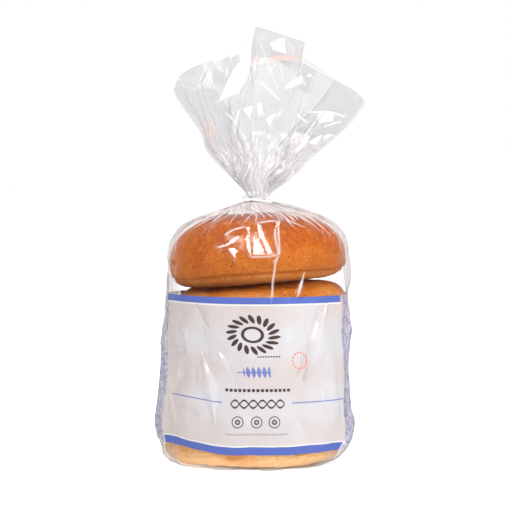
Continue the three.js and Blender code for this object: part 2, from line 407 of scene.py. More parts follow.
def lower_crease(points, bagel):
    """The pinched line that runs round the foot of the top bagel, deepest at the front right."""
    x, y, z = points.T
    angle = np.arctan2(y, x)
    centre = -bagel["sole"] + 6.5 + 0.8 * np.sin(3 * angle)
    strength = 0.3 + 0.7 * np.clip(np.cos(angle + 1.0), 0, 1)
    groove = np.exp(-((z - centre) / 0.9) ** 2)
    swell = np.exp(-((z - centre + 3.0) / 2.0) ** 2)
    return np.where(np.hypot(x, y) > RING_CENTRE, strength * (0.8 * swell - 2.2 * groove), 0)


def section_corners(bm, bagel):
    """The bagel's section: a rounded shape that is fuller above than below."""
    corners = []
    for k in range(SECTION_POINTS):
        a = 2 * math.pi * k / SECTION_POINTS
        up, out = math.sin(a), math.cos(a)
        power = bagel["powers"][0 if up > 0 else 1]
        reach = bagel["radius"] - RING_CENTRE if out > 0 else RING_CENTRE - HOLE_RADIUS
        rise = bagel["crown"] if up > 0 else bagel["sole"]
        radius = RING_CENTRE + reach * math.copysign(abs(out) ** (2 / power), out)
        corners.append(bm.verts.new((radius, 0, rise * math.copysign(abs(up) ** (2 / power), up))))
    return corners


def spin_bagel(bagel):
    """A ring spun from its section and cut up finely, with every point on the section's curve."""
    bm = bmesh.new()
    corners = section_corners(bm, bagel)
    edges = [bm.edges.new((corners[k - 1], corners[k])) for k in range(SECTION_POINTS)]
    bmesh.ops.spin(bm, geom=corners + edges, axis=(0, 0, 1), cent=(0, 0, 0),
                   steps=SPIN_STEPS, angle=2 * math.pi, use_merge=True)
    bmesh.ops.remove_doubles(bm, verts=bm.verts, dist=0.001)
    bmesh.ops.subdivide_edges(bm, edges=bm.edges, cuts=FINE_CUTS, use_grid_fill=True)
    bmesh.ops.recalc_face_normals(bm, faces=bm.faces)
    points = np.array([v.co for v in bm.verts])
    radius = np.hypot(points[:, 0], points[:, 1])
    ratio = profile_ratio(bagel, radius, points[:, 2])
    points[:, :2] *= ((RING_CENTRE + (radius - RING_CENTRE) / ratio) / radius)[:, None]
    points[:, 2] /= ratio
    for v, place in zip(bm.verts, points):
        v.co = place
    bm.normal_update()
    return bm, points, np.array([v.normal for v in bm.verts])


def make_bagel(number, bagel):
    """A bagel roughened, tilted and set in its place in the stack."""
    bm, points, normals = spin_bagel(bagel)
    height = (points[:, 2] + bagel["sole"]) / (bagel["crown"] + bagel["sole"])
    relief = crust_relief(points, height, bagel, 100 + 10 * number)
    lean = np.minimum(points[:, 2], 0) * -bagel["lean"] * points[:, 0] / bagel["radius"]
    tilt = np.array(Matrix.Rotation(math.radians(-bagel["tilt"]), 3, "Y"))
    moved = points + normals * relief[:, None]
    moved[:, 2] += lean
    moved = moved @ tilt.T + bagel["middle"]
    moved[:, 2] = np.maximum(moved[:, 2], FLOOR_GAP)
    moved *= MM
    rise_layer = bm.verts.layers.float.new("rise")
    for v, place, rise in zip(bm.verts, moved, height):
        v.co = place
        v[rise_layer] = rise
    bm.normal_update()
    return finish_mesh(bm, f"bagel_{number + 1}")


def finish_mesh(bm, name):
    """A bmesh as a smooth-shaded object at the origin."""
    mesh = bpy.data.meshes.new(name)
    for face in bm.faces:
        face.smooth = True
    bm.to_mesh(mesh)
    bm.free()
    piece = bpy.data.objects.new(name, mesh)
    bpy.context.scene.collection.objects.link(piece)
    return piece


# ---------------------------------------------------------------- film

def panel_columns():
    """Width round the bag of each mesh column, and the width where each panel starts."""
    starts = [0.0]
    columns = [0.0]
    for width, step in PANELS.values():
        low, high = starts[-1], starts[-1] + width
        columns += list(np.linspace(low, high, round(width / step) + 1)[1:])
        starts.append(high)
    return np.array(columns), np.array(starts)


COLUMNS, PANEL_STARTS = panel_columns()
GIRTH = PANEL_STARTS[-1]
PANEL_OF_COLUMN = np.minimum(np.searchsorted(PANEL_STARTS, COLUMNS, side="right") - 1, 3)
FRONT, BACK = PANEL_OF_COLUMN == 0, PANEL_OF_COLUMN == 2


def pleat_phase(count, seed):
    """Phase of uneven pleats at each column: whole turns from one pleat to the next."""
    random = np.random.default_rng(seed)
    widths = random.uniform(0.35, 1.7, count)
    edges = np.concatenate([[0], np.cumsum(widths)]) / widths.sum() * GIRTH
    return 2 * np.pi * np.interp(COLUMNS, edges, np.arange(count + 1))


def gather(closeness, fineness, drifting):
    """Shares round each panel and offsets of gathered film.

    closeness is, for each row, the width that is left over the film's width. The film keeps its length
    and winds from side to side like a slow river, so what it loses in width it gains in folds.
    fineness runs from few broad folds to many narrow ones, which drift sideways along the lengths in
    drifting and run straight where it stays the same.
    """
    swing = 2.28 * np.sqrt(np.clip(1 - closeness, 0, 1)) * (1 - 0.12 * (1 - closeness) ** 2)
    fine = np.clip(fineness, 0, 1)[:, None]
    uneven = 1 + 0.25 * np.sin(COLUMNS / 23.0) + 0.15 * np.sin(COLUMNS / 9.0 + 2)
    turn = 2 * np.pi * COLUMNS / GIRTH
    drift = 0.6 * np.sin(5 * turn + drifting[:, None] / 17) + 0.5 * np.sin(3 * turn - drifting[:, None] / 11)
    wave = (1 - fine) * np.sin(pleat_phase(14, 7)) + fine * np.sin(pleat_phase(44, 8) + drift)
    heading = swing[:, None] * uneven * (wave + 0.3 * fine * np.sin(pleat_phase(83, 9) - 2 * drift))
    step = np.diff(COLUMNS, prepend=COLUMNS[0])
    forward = np.cumsum(np.cos(heading) * step, axis=1)
    sideways = np.cumsum(np.sin(heading) * step, axis=1)
    sideways -= COLUMNS / GIRTH * sideways[:, -1:]
    spectrum = np.fft.rfft(sideways[:, :-1], axis=1)
    spectrum[:, :7] = 0
    sideways[:, :-1] = np.fft.irfft(spectrum, n=sideways.shape[1] - 1, axis=1)
    sideways[:, -1] = sideways[:, 0]
    shares = np.zeros_like(forward)
    for k in range(4):
        inside = (COLUMNS >= PANEL_STARTS[k] - 1e-6) & (COLUMNS <= PANEL_STARTS[k + 1] + 1e-6)
        part = forward[:, inside]
        share = (part - part[:, :1]) / (part[:, -1:] - part[:, :1])
        shares[:, inside] = k + np.clip(share, -0.15, 1.15)
    return shares, sideways


def body_rows():
    """Rows of the film from the middle of the base to the neck: (height, left, right) and the length
    along the film, which equals the height half way up."""
    curve = smooth_curve(BODY_OUTLINE)
    steps = np.linalg.norm(np.diff(curve, axis=0), axis=1)
    length = np.concatenate([[0], np.cumsum(steps)])
    wall = np.flatnonzero(curve[:, 0] > 60)[0]
    length += curve[wall, 0] - length[wall]
    base = np.linspace(length[0], FIELD_BOTTOM, BASE_ROWS, endpoint=False)
    field = np.linspace(FIELD_BOTTOM, FIELD_TOP, FIELD_ROWS, endpoint=False)
    top = np.linspace(FIELD_TOP, length[-1], TOP_ROWS)
    lengths = np.concatenate([base, field, top])
    rows = np.stack([np.interp(lengths, length, curve[:, k]) for k in range(3)], -1)
    return rows, lengths


def body_points(rows, lengths):
    """Film from the middle of the base to the bottom of the neck."""
    height, left, right = rows.T
    half = (right - left) / 2
    tangent = np.gradient(np.stack([half, height], -1), axis=0)
    tangent /= np.linalg.norm(tangent, axis=1, keepdims=True) + 1e-9
    out, up = tangent[:, 1][:, None], -tangent[:, 0][:, None]
    above = height > 100
    closeness = np.clip(2 * np.pi * half / BODY_GIRTH, np.where(above, 0.02, 0.3), 1)
    shares, sideways = gather(closeness, smoothstep(-half, -52, -24), np.zeros_like(lengths))
    angles = np.array([np.interp(share, range(5), fold_angles(z)) for share, z in zip(shares, height)])
    angle = np.radians(angles)
    flatten = np.where(above, mix(0.2, 0.08, smoothstep(-half, -50, -8)), 0.1)[:, None]
    fold = sideways * flatten
    fold -= np.where(above, 0.6, 0.0)[:, None] * np.max(fold, axis=1, keepdims=True)
    offset = np.maximum(fold, -0.75 * half[:, None]) + body_relief(height, lengths)
    across = half[:, None] + offset * out
    depth = np.minimum(half, BODY_HALF_DEPTH)[:, None] + offset * out
    points = np.stack([
        ((left + right) / 2)[:, None] + across * np.cos(angle),
        depth * np.sin(angle),
        height[:, None] + offset * up,
    ], -1)
    drawn = np.interp(height, *zip(*DRAWN_UP))[:, None] * smoothstep(-points[..., 0], 14, 60)
    points[..., 2] = np.maximum(points[..., 2] + drawn, LOWEST_FILM)
    return points


def fold_angles(height):
    """Angles where the panels start at one height."""
    turn = LOW_FOLD_TURN * (1 - smoothstep(height, 45, 100))
    first, *others, last = PANEL_ANGLES
    return [first + turn, *others, last + turn]


def body_relief(height, lengths):
    """Relief of the filled bag: slack gussets, soft folds of the print, crisp folds of the clear top."""
    panel = np.interp(COLUMNS, PANEL_STARTS, range(5))
    gusset = np.maximum(*(np.clip(1 - np.abs(panel - k - 0.5) * 1.3, 0, 1) for k in (1, 3)))
    to_fold = np.min(np.abs(COLUMNS - PANEL_STARTS[:, None]), axis=0)
    ridge = np.clip(1 - to_fold / 8, 0, 1)
    wall = smoothstep(height, 2, 20) * (1 - smoothstep(height, 140, 158))
    top = smoothstep(height, 106, 124) * (1 - smoothstep(height, 158, 166))
    print_folds = facets(lengths, 36, 4.6, 11, 1.4) + facets(lengths, 14, 1.6, 12, 1.6)
    slack_folds = facets(lengths, 13, 1.1, 13, 2.0) + facets(lengths, 6, 0.35, 14, 1.5)
    top_folds = facets(lengths, 18, 1.3, 15, 2.2) + facets(lengths, 6, 0.5, 16, 3.0)
    foot_folds = facets(lengths, 10, 1.1, 17, 0.8)
    wide = mix(0.3, 1.0, wall) * mix(1.0, 0.25, smoothstep(height, 108, 118))
    field = print_folds * (0.6 + 0.4 * gusset)[None, :] * wide[:, None]
    field += foot_folds * (smoothstep(height, 0.5, 3) * (1 - smoothstep(height, 8, 14)))[:, None]
    field += slack_folds * gusset[None, :] * wall[:, None]
    front = np.clip(1 - np.abs(COLUMNS - PANEL_STARTS[1] / 2) / 60, 0, 1)
    calm = np.minimum(front * 3.5, 1)[None, :] * (1 - smoothstep(height, 150, 158))[:, None]
    field += top_folds * top[:, None] * (1 - 0.8 * calm)
    field += (0.8 * ridge + 0.9 * np.clip(gusset * 2 - 0.6, 0, 1))[None, :] * wall[:, None]
    return field


def fan_sheet(rim, left, right, across, rise):
    """Points (x, z) of one panel of the fan, spread between its edges, its rim and the neck."""
    neck_left = np.array([NECK_X - NECK_RADIUS, NECK_TOP])
    neck_right = np.array([NECK_X + NECK_RADIUS, NECK_TOP])
    q, t = across[..., None], rise[:, None, None]
    edges = mix(left[:, None], right[:, None], q)
    top = along(rim, across.ravel()).reshape(across.shape + (2,))
    ends = mix(mix(neck_left, neck_right, q), top, t)
    corners = mix(mix(neck_left, neck_right, q), mix(left[-1], right[-1], q), t)
    return edges + ends - corners


def fan_relief(lengths, rise):
    """Relief of the fan: large flat places above, dense long creases towards the neck."""
    upper = smoothstep(rise, 0.08, 0.6)[:, None]
    lower = (smoothstep(rise, 0.0, 0.1) * (1 - smoothstep(rise, 0.25, 0.65)))[:, None]
    large = facets(lengths, 30, 5.0, 21, 1.4) + facets(lengths, 12, 0.9, 22, 1.5)
    dense = facets(lengths, 14, 2.6, 23, 1.4) + facets(lengths, 6, 0.9, 24, 1.2)
    return large * upper + dense * lower


def fan_points(rise, lengths):
    """Film from the top of the neck to the cut rim: two panels with a gusset tucked in at each side."""
    left = along(smooth_curve([(NECK_X - NECK_RADIUS, NECK_TOP), *FAN_LEFT_EDGE, FAN_LEFT_CORNER]), rise)
    right = along(smooth_curve([(NECK_X + NECK_RADIUS, NECK_TOP), *FAN_RIGHT_EDGE, FAN_RIGHT_CORNER]), rise)
    rim_left = smooth_curve([FAN_LEFT_CORNER, *RIM_LEFT])
    rim_right = smooth_curve([*RIM_RIGHT, FAN_RIGHT_CORNER])
    front_rim = np.vstack([rim_left, smooth_curve(FRONT_RIM_MIDDLE), rim_right])
    back_rim = np.vstack([rim_left, LIP, rim_right])
    width = (right - left)[:, 0]
    closeness = np.clip(width / PANELS["front"][0], 0.03, 0.97)
    shares, sideways = gather(closeness, 1 - smoothstep(rise, 0.1, 0.5), lengths)
    q = shares - PANEL_OF_COLUMN
    tuck = (np.minimum(GUSSET_TUCK, 0.3 * width) / np.maximum(width, 1))[:, None]
    peak = 1 - np.abs(2 * q - 1)
    reach = [q, 1 - tuck * peak, 1 - q, tuck * peak]
    bulge = mix(NECK_RADIUS, RIM_HALF_DEPTH, rise)[:, None]
    bulge = bulge + (FAN_HALF_DEPTH - RIM_HALF_DEPTH) * np.sin(np.pi * rise)[:, None]
    gap = FAN_FOLD_GAP * smoothstep(rise, 0, 0.3)[:, None]
    crown = np.sin(np.pi * np.clip(q, 0, 1)) ** 0.8
    depths = [-gap - bulge * crown, gap * (2 * q - 1), gap + bulge * crown, gap * (1 - 2 * q)]
    flatten = mix(0.17, 0.05, smoothstep(rise, 0.1, 0.5))[:, None]
    relief = (sideways * flatten + fan_relief(lengths, rise)) * smoothstep(peak, 0, 0.12)
    points = np.zeros(shares.shape + (3,))
    for k, side in enumerate((-1, 0.3, 1, -0.3)):
        sheet = fan_sheet(back_rim if k == 2 else front_rim, left, right, np.clip(reach[k], 0, 1), rise)
        here = PANEL_OF_COLUMN == k
        away = np.linalg.norm((sheet - FAN_CALM) / FAN_CALM_REACH, axis=-1)
        y = depths[k] + side * relief * mix(0.15, 1.0, smoothstep(away, 0.6, 1.3))
        points[:, here] = np.stack([sheet[..., 0], y, sheet[..., 1]], -1)[:, here]
    return points


def line_distance(points, line):
    """Distance of points from a broken line, seen from the front."""
    place = points[..., [0, 2]]
    nearest = np.full(place.shape[:-1], 1e6)
    for a, b in zip(np.array(line), np.array(line[1:])):
        share = np.clip(((place - a) @ (b - a)) / ((b - a) @ (b - a)), 0, 1)
        nearest = np.minimum(nearest, np.linalg.norm(place - a - share[..., None] * (b - a), axis=-1))
    return nearest


def outside_distance(points, corners):
    """How far points lie outside a convex outline, seen from the front; 0 inside it."""
    place = points[..., [0, 2]]
    outline = np.array(corners + corners[:1])
    middle = outline[:-1].mean(axis=0)
    inside = np.ones(place.shape[:-1], bool)
    for a, b in zip(outline, outline[1:]):
        side = np.array([b[1] - a[1], a[0] - b[0]])
        inside &= ((place - a) @ side) * ((middle - a) @ side) > 0
    return np.where(inside, 0, line_distance(points, outline.tolist()))


def pull_taut(film, columns, places, flank, nearest=0.0):
    """Lifts some columns of the film to a flat face in each place; round it the film falls away on
    straight flanks. Only film nearer to the front than nearest is lifted. Marks the flat faces."""
    points = film[:, columns]
    mark = np.zeros(film.shape[:2])
    turn = math.radians(TAUT_TURN)
    for degrees, *shapes in places:
        x, depth, z = points[..., 0], -points[..., 1], points[..., 2]
        lean = math.radians(degrees)
        facing = np.array([math.sin(turn) * math.cos(lean), math.cos(turn) * math.cos(lean), math.sin(lean)])
        away = np.min([outside_distance(points, corners) for corners in shapes], axis=0)
        inside = (away == 0) & (depth > nearest)
        if not inside.any():
            continue
        slide = x * facing[0] + z * facing[2]
        reach = np.quantile((depth * facing[1] + slide)[inside], TAUT_REACH)
        plane = (reach - slide) / facing[1] - flank * away
        near = (away < TAUT_SPREAD) & (depth > nearest)
        points[..., 1] = -np.where(near, np.maximum(depth, plane), depth)
        mark[:, columns] = np.maximum(mark[:, columns], inside)
    film[:, columns] = points
    return mark


def raise_creases(points, columns, lines, side, width, height, taper=0.0):
    """Raises sharp creases on some columns of the film, to one side, and marks them. Taper is the share
    of a crease's length over which it thins out at each end."""
    mark = np.zeros(points.shape[:2])
    part = points[:, columns]
    for line in lines:
        wide = width
        if taper:
            to_start, to_end = (np.linalg.norm(part[..., [0, 2]] - end, axis=-1)
                                for end in (line[0], line[-1]))
            length = taper * curve_length(np.array(line))
            wide = width * np.clip(np.minimum(to_start, to_end) / length, 0.15, 1)
        near = np.clip(1 - line_distance(part, line) / wide, 0, 1)
        mark[:, columns] = np.maximum(mark[:, columns], near)
    points[..., 1] += side * height * mark
    return mark


def bend_marks(points):
    """How sharply the film is bent outwards, and how sharply inwards, each from 0 to 1."""
    ring = points[:, :-1]
    left, right = np.roll(ring, 1, 1), np.roll(ring, -1, 1)
    below, above = np.vstack([ring[:1], ring[:-1]]), np.vstack([ring[1:], ring[-1:]])
    normal = np.cross(right - left, above - below)
    normal /= np.linalg.norm(normal, axis=-1, keepdims=True) + 1e-9
    bend = np.zeros(ring.shape[:2])
    for a, b in ((left, right), (below, above)):
        step = np.linalg.norm(b - a, axis=-1) / 2
        bend -= ((a + b - 2 * ring) * normal).sum(-1) / np.maximum(step, 0.35) ** 2
    bend = bend + np.roll(bend, 1, 1) + np.roll(bend, -1, 1)
    bend = (bend + np.vstack([bend[:1], bend[:-1]]) + np.vstack([bend[1:], bend[-1:]])) / 9
    bend = np.hstack([bend, bend[:, :1]])
    return [np.clip(side * bend * 4.0 - 0.3, 0, 1) for side in (1, -1)]


def crease_body(body):
    """Raises the creases of the bag's front. Marks the sharp ones, and the soft folds of the print that
    stand out and that lie in, for painted highlights and painted shade."""
    sharp, out, inward = np.zeros((3, *body.shape[:2]))
    for lines, width, height, taper in SHOULDER_CREASES:
        sharp = np.maximum(sharp, raise_creases(body, FRONT, lines, -1, width, height, taper))
    for width, height, line in LABEL_FOLDS:
        mark = raise_creases(body, FRONT, [line], -1, 1.2 * width, 1.4 * height, 0.5)
        if height > 0:
            out = np.maximum(out, mark)
        else:
            inward = np.maximum(inward, mark)
    return sharp, out, inward


def crease_fan(fan):
    """Raises the fan's creases outwards and its folds inwards, on both panels, and marks them for painted
    highlights and painted shade.
    """
    ridge = raise_creases(fan, FRONT, FRONT_FAN_RIDGES, -1, 1.0, 0.6)
    ridge = np.maximum(ridge, raise_creases(fan, BACK, BACK_FAN_RIDGES, 1, 1.0, 0.6))
    fold = raise_creases(fan, FRONT, FRONT_FAN_FOLDS, 1, 0.9, 0.5)
    fold = np.maximum(fold, raise_creases(fan, BACK, BACK_FAN_FOLDS, -1, 0.9, 0.5))
    return ridge, fold


def shape_body():
    """Film from the base to the neck: points, lengths, and the marks of ridges, folds and taut faces."""
    rows, lengths = body_rows()
    body = push_off_bagels(body_points(rows, lengths), FILM_CLEARANCE)
    body[..., 2] = np.maximum(body[..., 2], LOWEST_FILM)
    taut = pull_taut(body, FRONT, TAUT_SHOULDER, BAG_FLANK)
    sharp, out, inward = crease_body(body)
    shown = smoothstep(lengths, lengths[-1] - 58, lengths[-1] - 30) + 0.6 * (lengths < FIELD_BOTTOM)
    ridge, fold = (mark * mix(0.1, 0.22, shown[:, None]) for mark in bend_marks(body))
    ridge = np.maximum(np.maximum(ridge, sharp), out)
    return body, lengths, ridge, np.maximum(fold, inward), taut


def join_neck(foot, fan, rise):
    """Straight film from the body's last ring through the neck, and the fan set on top of it."""
    ring = foot.copy()
    ring[:, 2] += NECK_TOP - NECK_BOTTOM
    blend = (1 - smoothstep(rise, 0, 0.03))[:, None, None]
    fan = mix(fan, ring[None] + (fan - fan[:1]), blend)
    neck = mix(foot[None], ring[None], np.linspace(0, 1, NECK_ROWS)[:, None, None])
    return np.concatenate([neck, fan[1:]])


def above_neck(marks):
    """Marks of the fan with unmarked rows for the neck below them."""
    return np.concatenate([np.zeros((NECK_ROWS, *marks.shape[1:])), marks[1:]])


def shape_collar(foot, length):
    """Film from the body's last ring to the rim: points, lengths, and the marks that shape_body gives."""
    rise = np.linspace(0, 1, FAN_ROWS + 1)
    neck_lengths = length + np.linspace(0, NECK_TOP - NECK_BOTTOM, NECK_ROWS)
    fan_lengths = neck_lengths[-1] + rise * FAN_LENGTH
    fan = fan_points(rise, fan_lengths)
    taut = pull_taut(fan, FRONT, TAUT_FAN, FAN_FLANK)
    taut = np.maximum(taut, pull_taut(fan, BACK, TAUT_LIP, FAN_FLANK, BEHIND_FAN))
    sharp, inward = crease_fan(fan)
    collar = join_neck(foot, fan, rise)
    ridge, fold = bend_marks(collar)
    quiet = mix(1.0, 0.5, smoothstep(above_neck(rise), 0.3, 0.55))[:, None]
    ridge = np.maximum(0.6 * quiet * ridge, above_neck(sharp))
    fold = np.maximum(0.45 * quiet * fold, above_neck(inward))
    lengths = np.concatenate([neck_lengths, fan_lengths[1:]])
    return collar, lengths, ridge, fold, above_neck(taut)


def film_parts():
    """The film's parts from the base up: name, points, lengths along the film, and the marks of ridges,
    folds and taut faces."""
    body = shape_body()
    points, lengths = body[:2]
    split = BASE_ROWS + FIELD_ROWS
    return [
        ("film_bag", *(values[:split + 1] for values in body)),
        ("film_shoulder", *(values[split:] for values in body)),
        ("film_collar", *shape_collar(points[-1], lengths[-1])),
    ]


def make_film(name, points, lengths, ridge, fold, taut, materials):
    """A part of the bag's film as one sheet, with its print laid out in millimetres in its UV map."""
    rows, columns = points.shape[:2]
    bm = bmesh.new()
    bmesh.ops.create_grid(bm, x_segments=columns - 1, y_segments=rows - 1, size=0.5)
    layout = bm.loops.layers.uv.new("film")
    marks = {"ridge": ridge, "fold": fold, "taut": taut}
    layers = {key: bm.verts.layers.float.new(key) for key in marks}
    place = {}
    for v in bm.verts:
        place[v] = (round((v.co.y + 0.5) * (rows - 1)), round((v.co.x + 0.5) * (columns - 1)))
    for face in bm.faces:
        for loop in face.loops:
            row, column = place[loop.vert]
            loop[layout].uv = (COLUMNS[column], lengths[row])
        face.material_index = film_zone(sum((loop[layout].uv for loop in face.loops), Vector((0, 0))) / 4)
    for v in bm.verts:
        for key, mark in marks.items():
            v[layers[key]] = mark[place[v]]
        v.co = points[place[v]] * MM
    bmesh.ops.remove_doubles(bm, verts=bm.verts, dist=1e-6)
    bm.normal_update()
    film = finish_mesh(bm, name)
    for material in materials:
        film.data.materials.append(material)
    return film


def film_zone(place):
    """Which of the film's materials a place has: clear, printed panel or printed gusset."""
    if not FIELD_BOTTOM < place.y < FIELD_TOP:
        return 0
    panel = np.searchsorted(PANEL_STARTS, place.x) - 1
    return 1 if panel in (0, 2) else 2


# ---------------------------------------------------------------- clip

def clip_outline():
    """The clip's corners from the left of its throat round its edge, and back round its hole."""
    half, throat = CLIP_SIZE / 2, CLIP_THROAT / 2
    corners = [(-throat, half)]
    for cx, cy, start in ((-1, 1, 90), (-1, -1, 180), (1, -1, 270), (1, 1, 0)):
        centre = Vector((cx, cy)) * (half - CLIP_CORNER)
        for k in range(7):
            a = math.radians(start + 15 * k)
            corners.append(centre + CLIP_CORNER * Vector((math.cos(a), math.sin(a))))
    corners.append((throat, half))
    opening = math.asin(throat / CLIP_HOLE_RADIUS)
    for k in range(25):
        a = math.pi / 2 - opening - (2 * math.pi - 2 * opening) * k / 24
        corners.append((CLIP_HOLE_RADIUS * math.cos(a), CLIP_HOLE_RADIUS * math.sin(a)))
    return corners


def make_clip():
    """The flat plastic clip, with softened edges and its throat at the back."""
    bm = bmesh.new()
    face = bm.faces.new([bm.verts.new((x, y, -CLIP_THICKNESS / 2)) for x, y in clip_outline()])
    grown = bmesh.ops.extrude_face_region(bm, geom=[face])
    top = [g for g in grown["geom"] if isinstance(g, bmesh.types.BMVert)]
    bmesh.ops.translate(bm, verts=top, vec=(0, 0, CLIP_THICKNESS))
    bmesh.ops.recalc_face_normals(bm, faces=bm.faces)
    rims = [e for e in bm.edges if len(e.link_faces) == 2 and e.calc_face_angle() > 1.2]
    bmesh.ops.bevel(bm, geom=rims, offset=0.25, offset_type="OFFSET", segments=2, profile=0.5,
                    affect="EDGES", material=-1)
    bmesh.ops.triangulate(bm, faces=[f for f in bm.faces if len(f.verts) > 4])
    turn = Matrix.Rotation(CLIP_ROLL, 4, "Y") @ Matrix.Rotation(CLIP_PITCH, 4, "X")
    place = Matrix.Scale(MM, 4) @ Matrix.Translation((NECK_X, 0, CLIP_HEIGHT)) @ turn
    bmesh.ops.transform(bm, matrix=place, verts=bm.verts)
    bm.normal_update()
    clip = finish_mesh(bm, "plastic_clip")
    for polygon in clip.data.polygons:
        polygon.use_smooth = False
    return clip


# ---------------------------------------------------------------- materials

class Field:
    """A number that changes over a surface, with the maths nodes that work it out."""

    def __init__(self, tree, socket):
        self.tree, self.socket = tree, socket

    def math(self, operation, *others, clamp=False):
        """A maths node of this number and others, which are plain numbers or fields."""
        node = self.tree.nodes.new("ShaderNodeMath")
        node.operation, node.use_clamp = operation, clamp
        for k, value in enumerate((self, *others)):
            if isinstance(value, Field):
                self.tree.links.new(value.socket, node.inputs[k])
            else:
                node.inputs[k].default_value = value
        return Field(self.tree, node.outputs[0])

    def __add__(self, other):
        return self.math("ADD", other)

    def __sub__(self, other):
        return self.math("SUBTRACT", other)

    def __rsub__(self, other):
        return (self * -1).math("ADD", other)

    def __mul__(self, other):
        return self.math("MULTIPLY", other)

    def __truediv__(self, other):
        return self.math("DIVIDE", other)

    def clamped(self, gain=1.0):
        """The number times gain, held between 0 and 1."""
        return self.math("MULTIPLY", gain, clamp=True)

    def size(self):
        return self.math("ABSOLUTE")

    def least(self, other):
        return self.math("MINIMUM", other)

    def most(self, other):
        return self.math("MAXIMUM", other)

    def repeat(self, step):
        """Distance from the middle of the nearest of evenly spaced marks."""
        return self.math("PINGPONG", step / 2)

    def below(self, limit, soft=0.12):
        """1 where the number is below limit, 0 above it, with a soft edge."""
        return ((self - limit) * (-1 / soft)).math("ADD", 0.5, clamp=True)

    def distance(self, other):
        return (self * self + other * other).math("SQRT")


def ellipse(x, y, wide, high):
    """Distance-like field: 1 on an ellipse's outline, less inside."""
    return (x / wide).distance(y / high)


class Paint:
    """Colour built up by laying inks over a ground."""

    def __init__(self, tree, colour):
        self.tree, self.colour = tree, colour

    def lay(self, mask, ink, strength=1.0):
        """Lays an ink over the ground where mask is above 0."""
        if strength != 1.0:
            mask = mask * strength
        node = self.tree.nodes.new("ShaderNodeMix")
        node.data_type = "RGBA"
        self.tree.links.new(mask.socket, node.inputs[0])
        for value, socket in ((self.colour, node.inputs[6]), (ink, node.inputs[7])):
            if isinstance(value, bpy.types.NodeSocket):
                self.tree.links.new(value, socket)
            else:
                socket.default_value = (*value, 1)
        self.colour = node.outputs[2]
        return self


def new_material(name):
    material = bpy.data.materials.new(name)
    material.use_nodes = True
    tree = material.node_tree
    tree.nodes.clear()
    return material, tree


def add(tree, kind, **values):
    """A node with the values of its inputs set by name."""
    node = tree.nodes.new(kind)
    for key, value in values.items():
        node.inputs[key.replace("_", " ")].default_value = value
    return node


def attribute(tree, name):
    """A mark that the mesh carries at each of its points."""
    node = tree.nodes.new("ShaderNodeAttribute")
    node.attribute_name = name
    return Field(tree, node.outputs["Fac"])


def noise_field(tree, coordinates, scale, detail=2.0, rough=0.5):
    node = add(tree, "ShaderNodeTexNoise", Scale=scale, Detail=detail, Roughness=rough)
    tree.links.new(coordinates, node.inputs["Vector"])
    return Field(tree, node.outputs["Fac"])


def stretched(tree, coordinates, scale):
    """Coordinates scaled along each axis."""
    node = add(tree, "ShaderNodeVectorMath")
    node.operation = "MULTIPLY"
    tree.links.new(coordinates, node.inputs[0])
    node.inputs[1].default_value = scale
    return node.outputs[0]


def creases(tree, coordinates, scale):
    """Flat facets between ridges: the distance to the nearest border of a cell."""
    node = add(tree, "ShaderNodeTexVoronoi", Scale=scale)
    node.feature = "DISTANCE_TO_EDGE"
    tree.links.new(coordinates, node.inputs["Vector"])
    return Field(tree, node.outputs["Distance"])


def ramp(tree, field, stops):
    """A colour for each value of a field."""
    node = tree.nodes.new("ShaderNodeValToRGB")
    elements = node.color_ramp.elements
    while len(elements) < len(stops):
        elements.new(0.5)
    for element, (place, colour) in zip(elements, stops):
        element.position, element.color = place, (*colour, 1)
    tree.links.new(field.socket, node.inputs[0])
    return node.outputs[0]


def bump(tree, height, strength, distance):
    node = add(tree, "ShaderNodeBump", Strength=strength, Distance=distance)
    tree.links.new(height.socket, node.inputs["Height"])
    return node.outputs["Normal"]


def blend_shaders(tree, share, first, second):
    node = tree.nodes.new("ShaderNodeMixShader")
    tree.links.new(share.socket, node.inputs[0])
    tree.links.new(first, node.inputs[1])
    tree.links.new(second, node.inputs[2])
    return node.outputs[0]


def output(tree, shader):
    end = tree.nodes.new("ShaderNodeOutputMaterial")
    tree.links.new(shader, end.inputs["Surface"])


def new_group(name, inputs, outputs):
    """A shader node group with named sockets, and its input and output nodes."""
    group = bpy.data.node_groups.new(name, "ShaderNodeTree")
    for socket, kind in inputs.items():
        group.interface.new_socket(socket, in_out="INPUT", socket_type=kind)
    for socket, kind in outputs.items():
        group.interface.new_socket(socket, in_out="OUTPUT", socket_type=kind)
    return group, group.nodes.new("NodeGroupInput"), group.nodes.new("NodeGroupOutput")


def place_group(tree, group, vector, **values):
    """A node of the group, with its other inputs set by name to values or to linked sockets."""
    node = tree.nodes.new("ShaderNodeGroup")
    node.node_tree = group
    tree.links.new(vector, node.inputs["Vector"])
    for key, value in values.items():
        socket = node.inputs[key.replace("_", " ")]
        if isinstance(value, bpy.types.NodeSocket):
            tree.links.new(value, socket)
        else:
            socket.default_value = value
    return node


# Crust, from the pale foot of a bagel to its crown
CRUST_STOPS = [
    (0.0, (0.86, 0.53, 0.24)),
    (0.22, (0.76, 0.34, 0.090)),
    (0.42, (0.63, 0.185, 0.018)),
    (0.75, (0.59, 0.148, 0.011)),
    (1.0, (0.48, 0.090, 0.003)),
]
CRUST_LIGHT = (0.78, 0.27, 0.030)
# Dark crust, and also the painted shade on the lower half of the top bagel
CRUST_DARK = (0.26, 0.050, 0.004)
CRUST_RED = (0.40, 0.065, 0.008)
CRUST_SPOT = (0.15, 0.022, 0.004)
# Tan of the top bagel's foot, darkened as painted shade
CRUST_FOOT_AND_SHADE = (0.42, 0.21, 0.085)

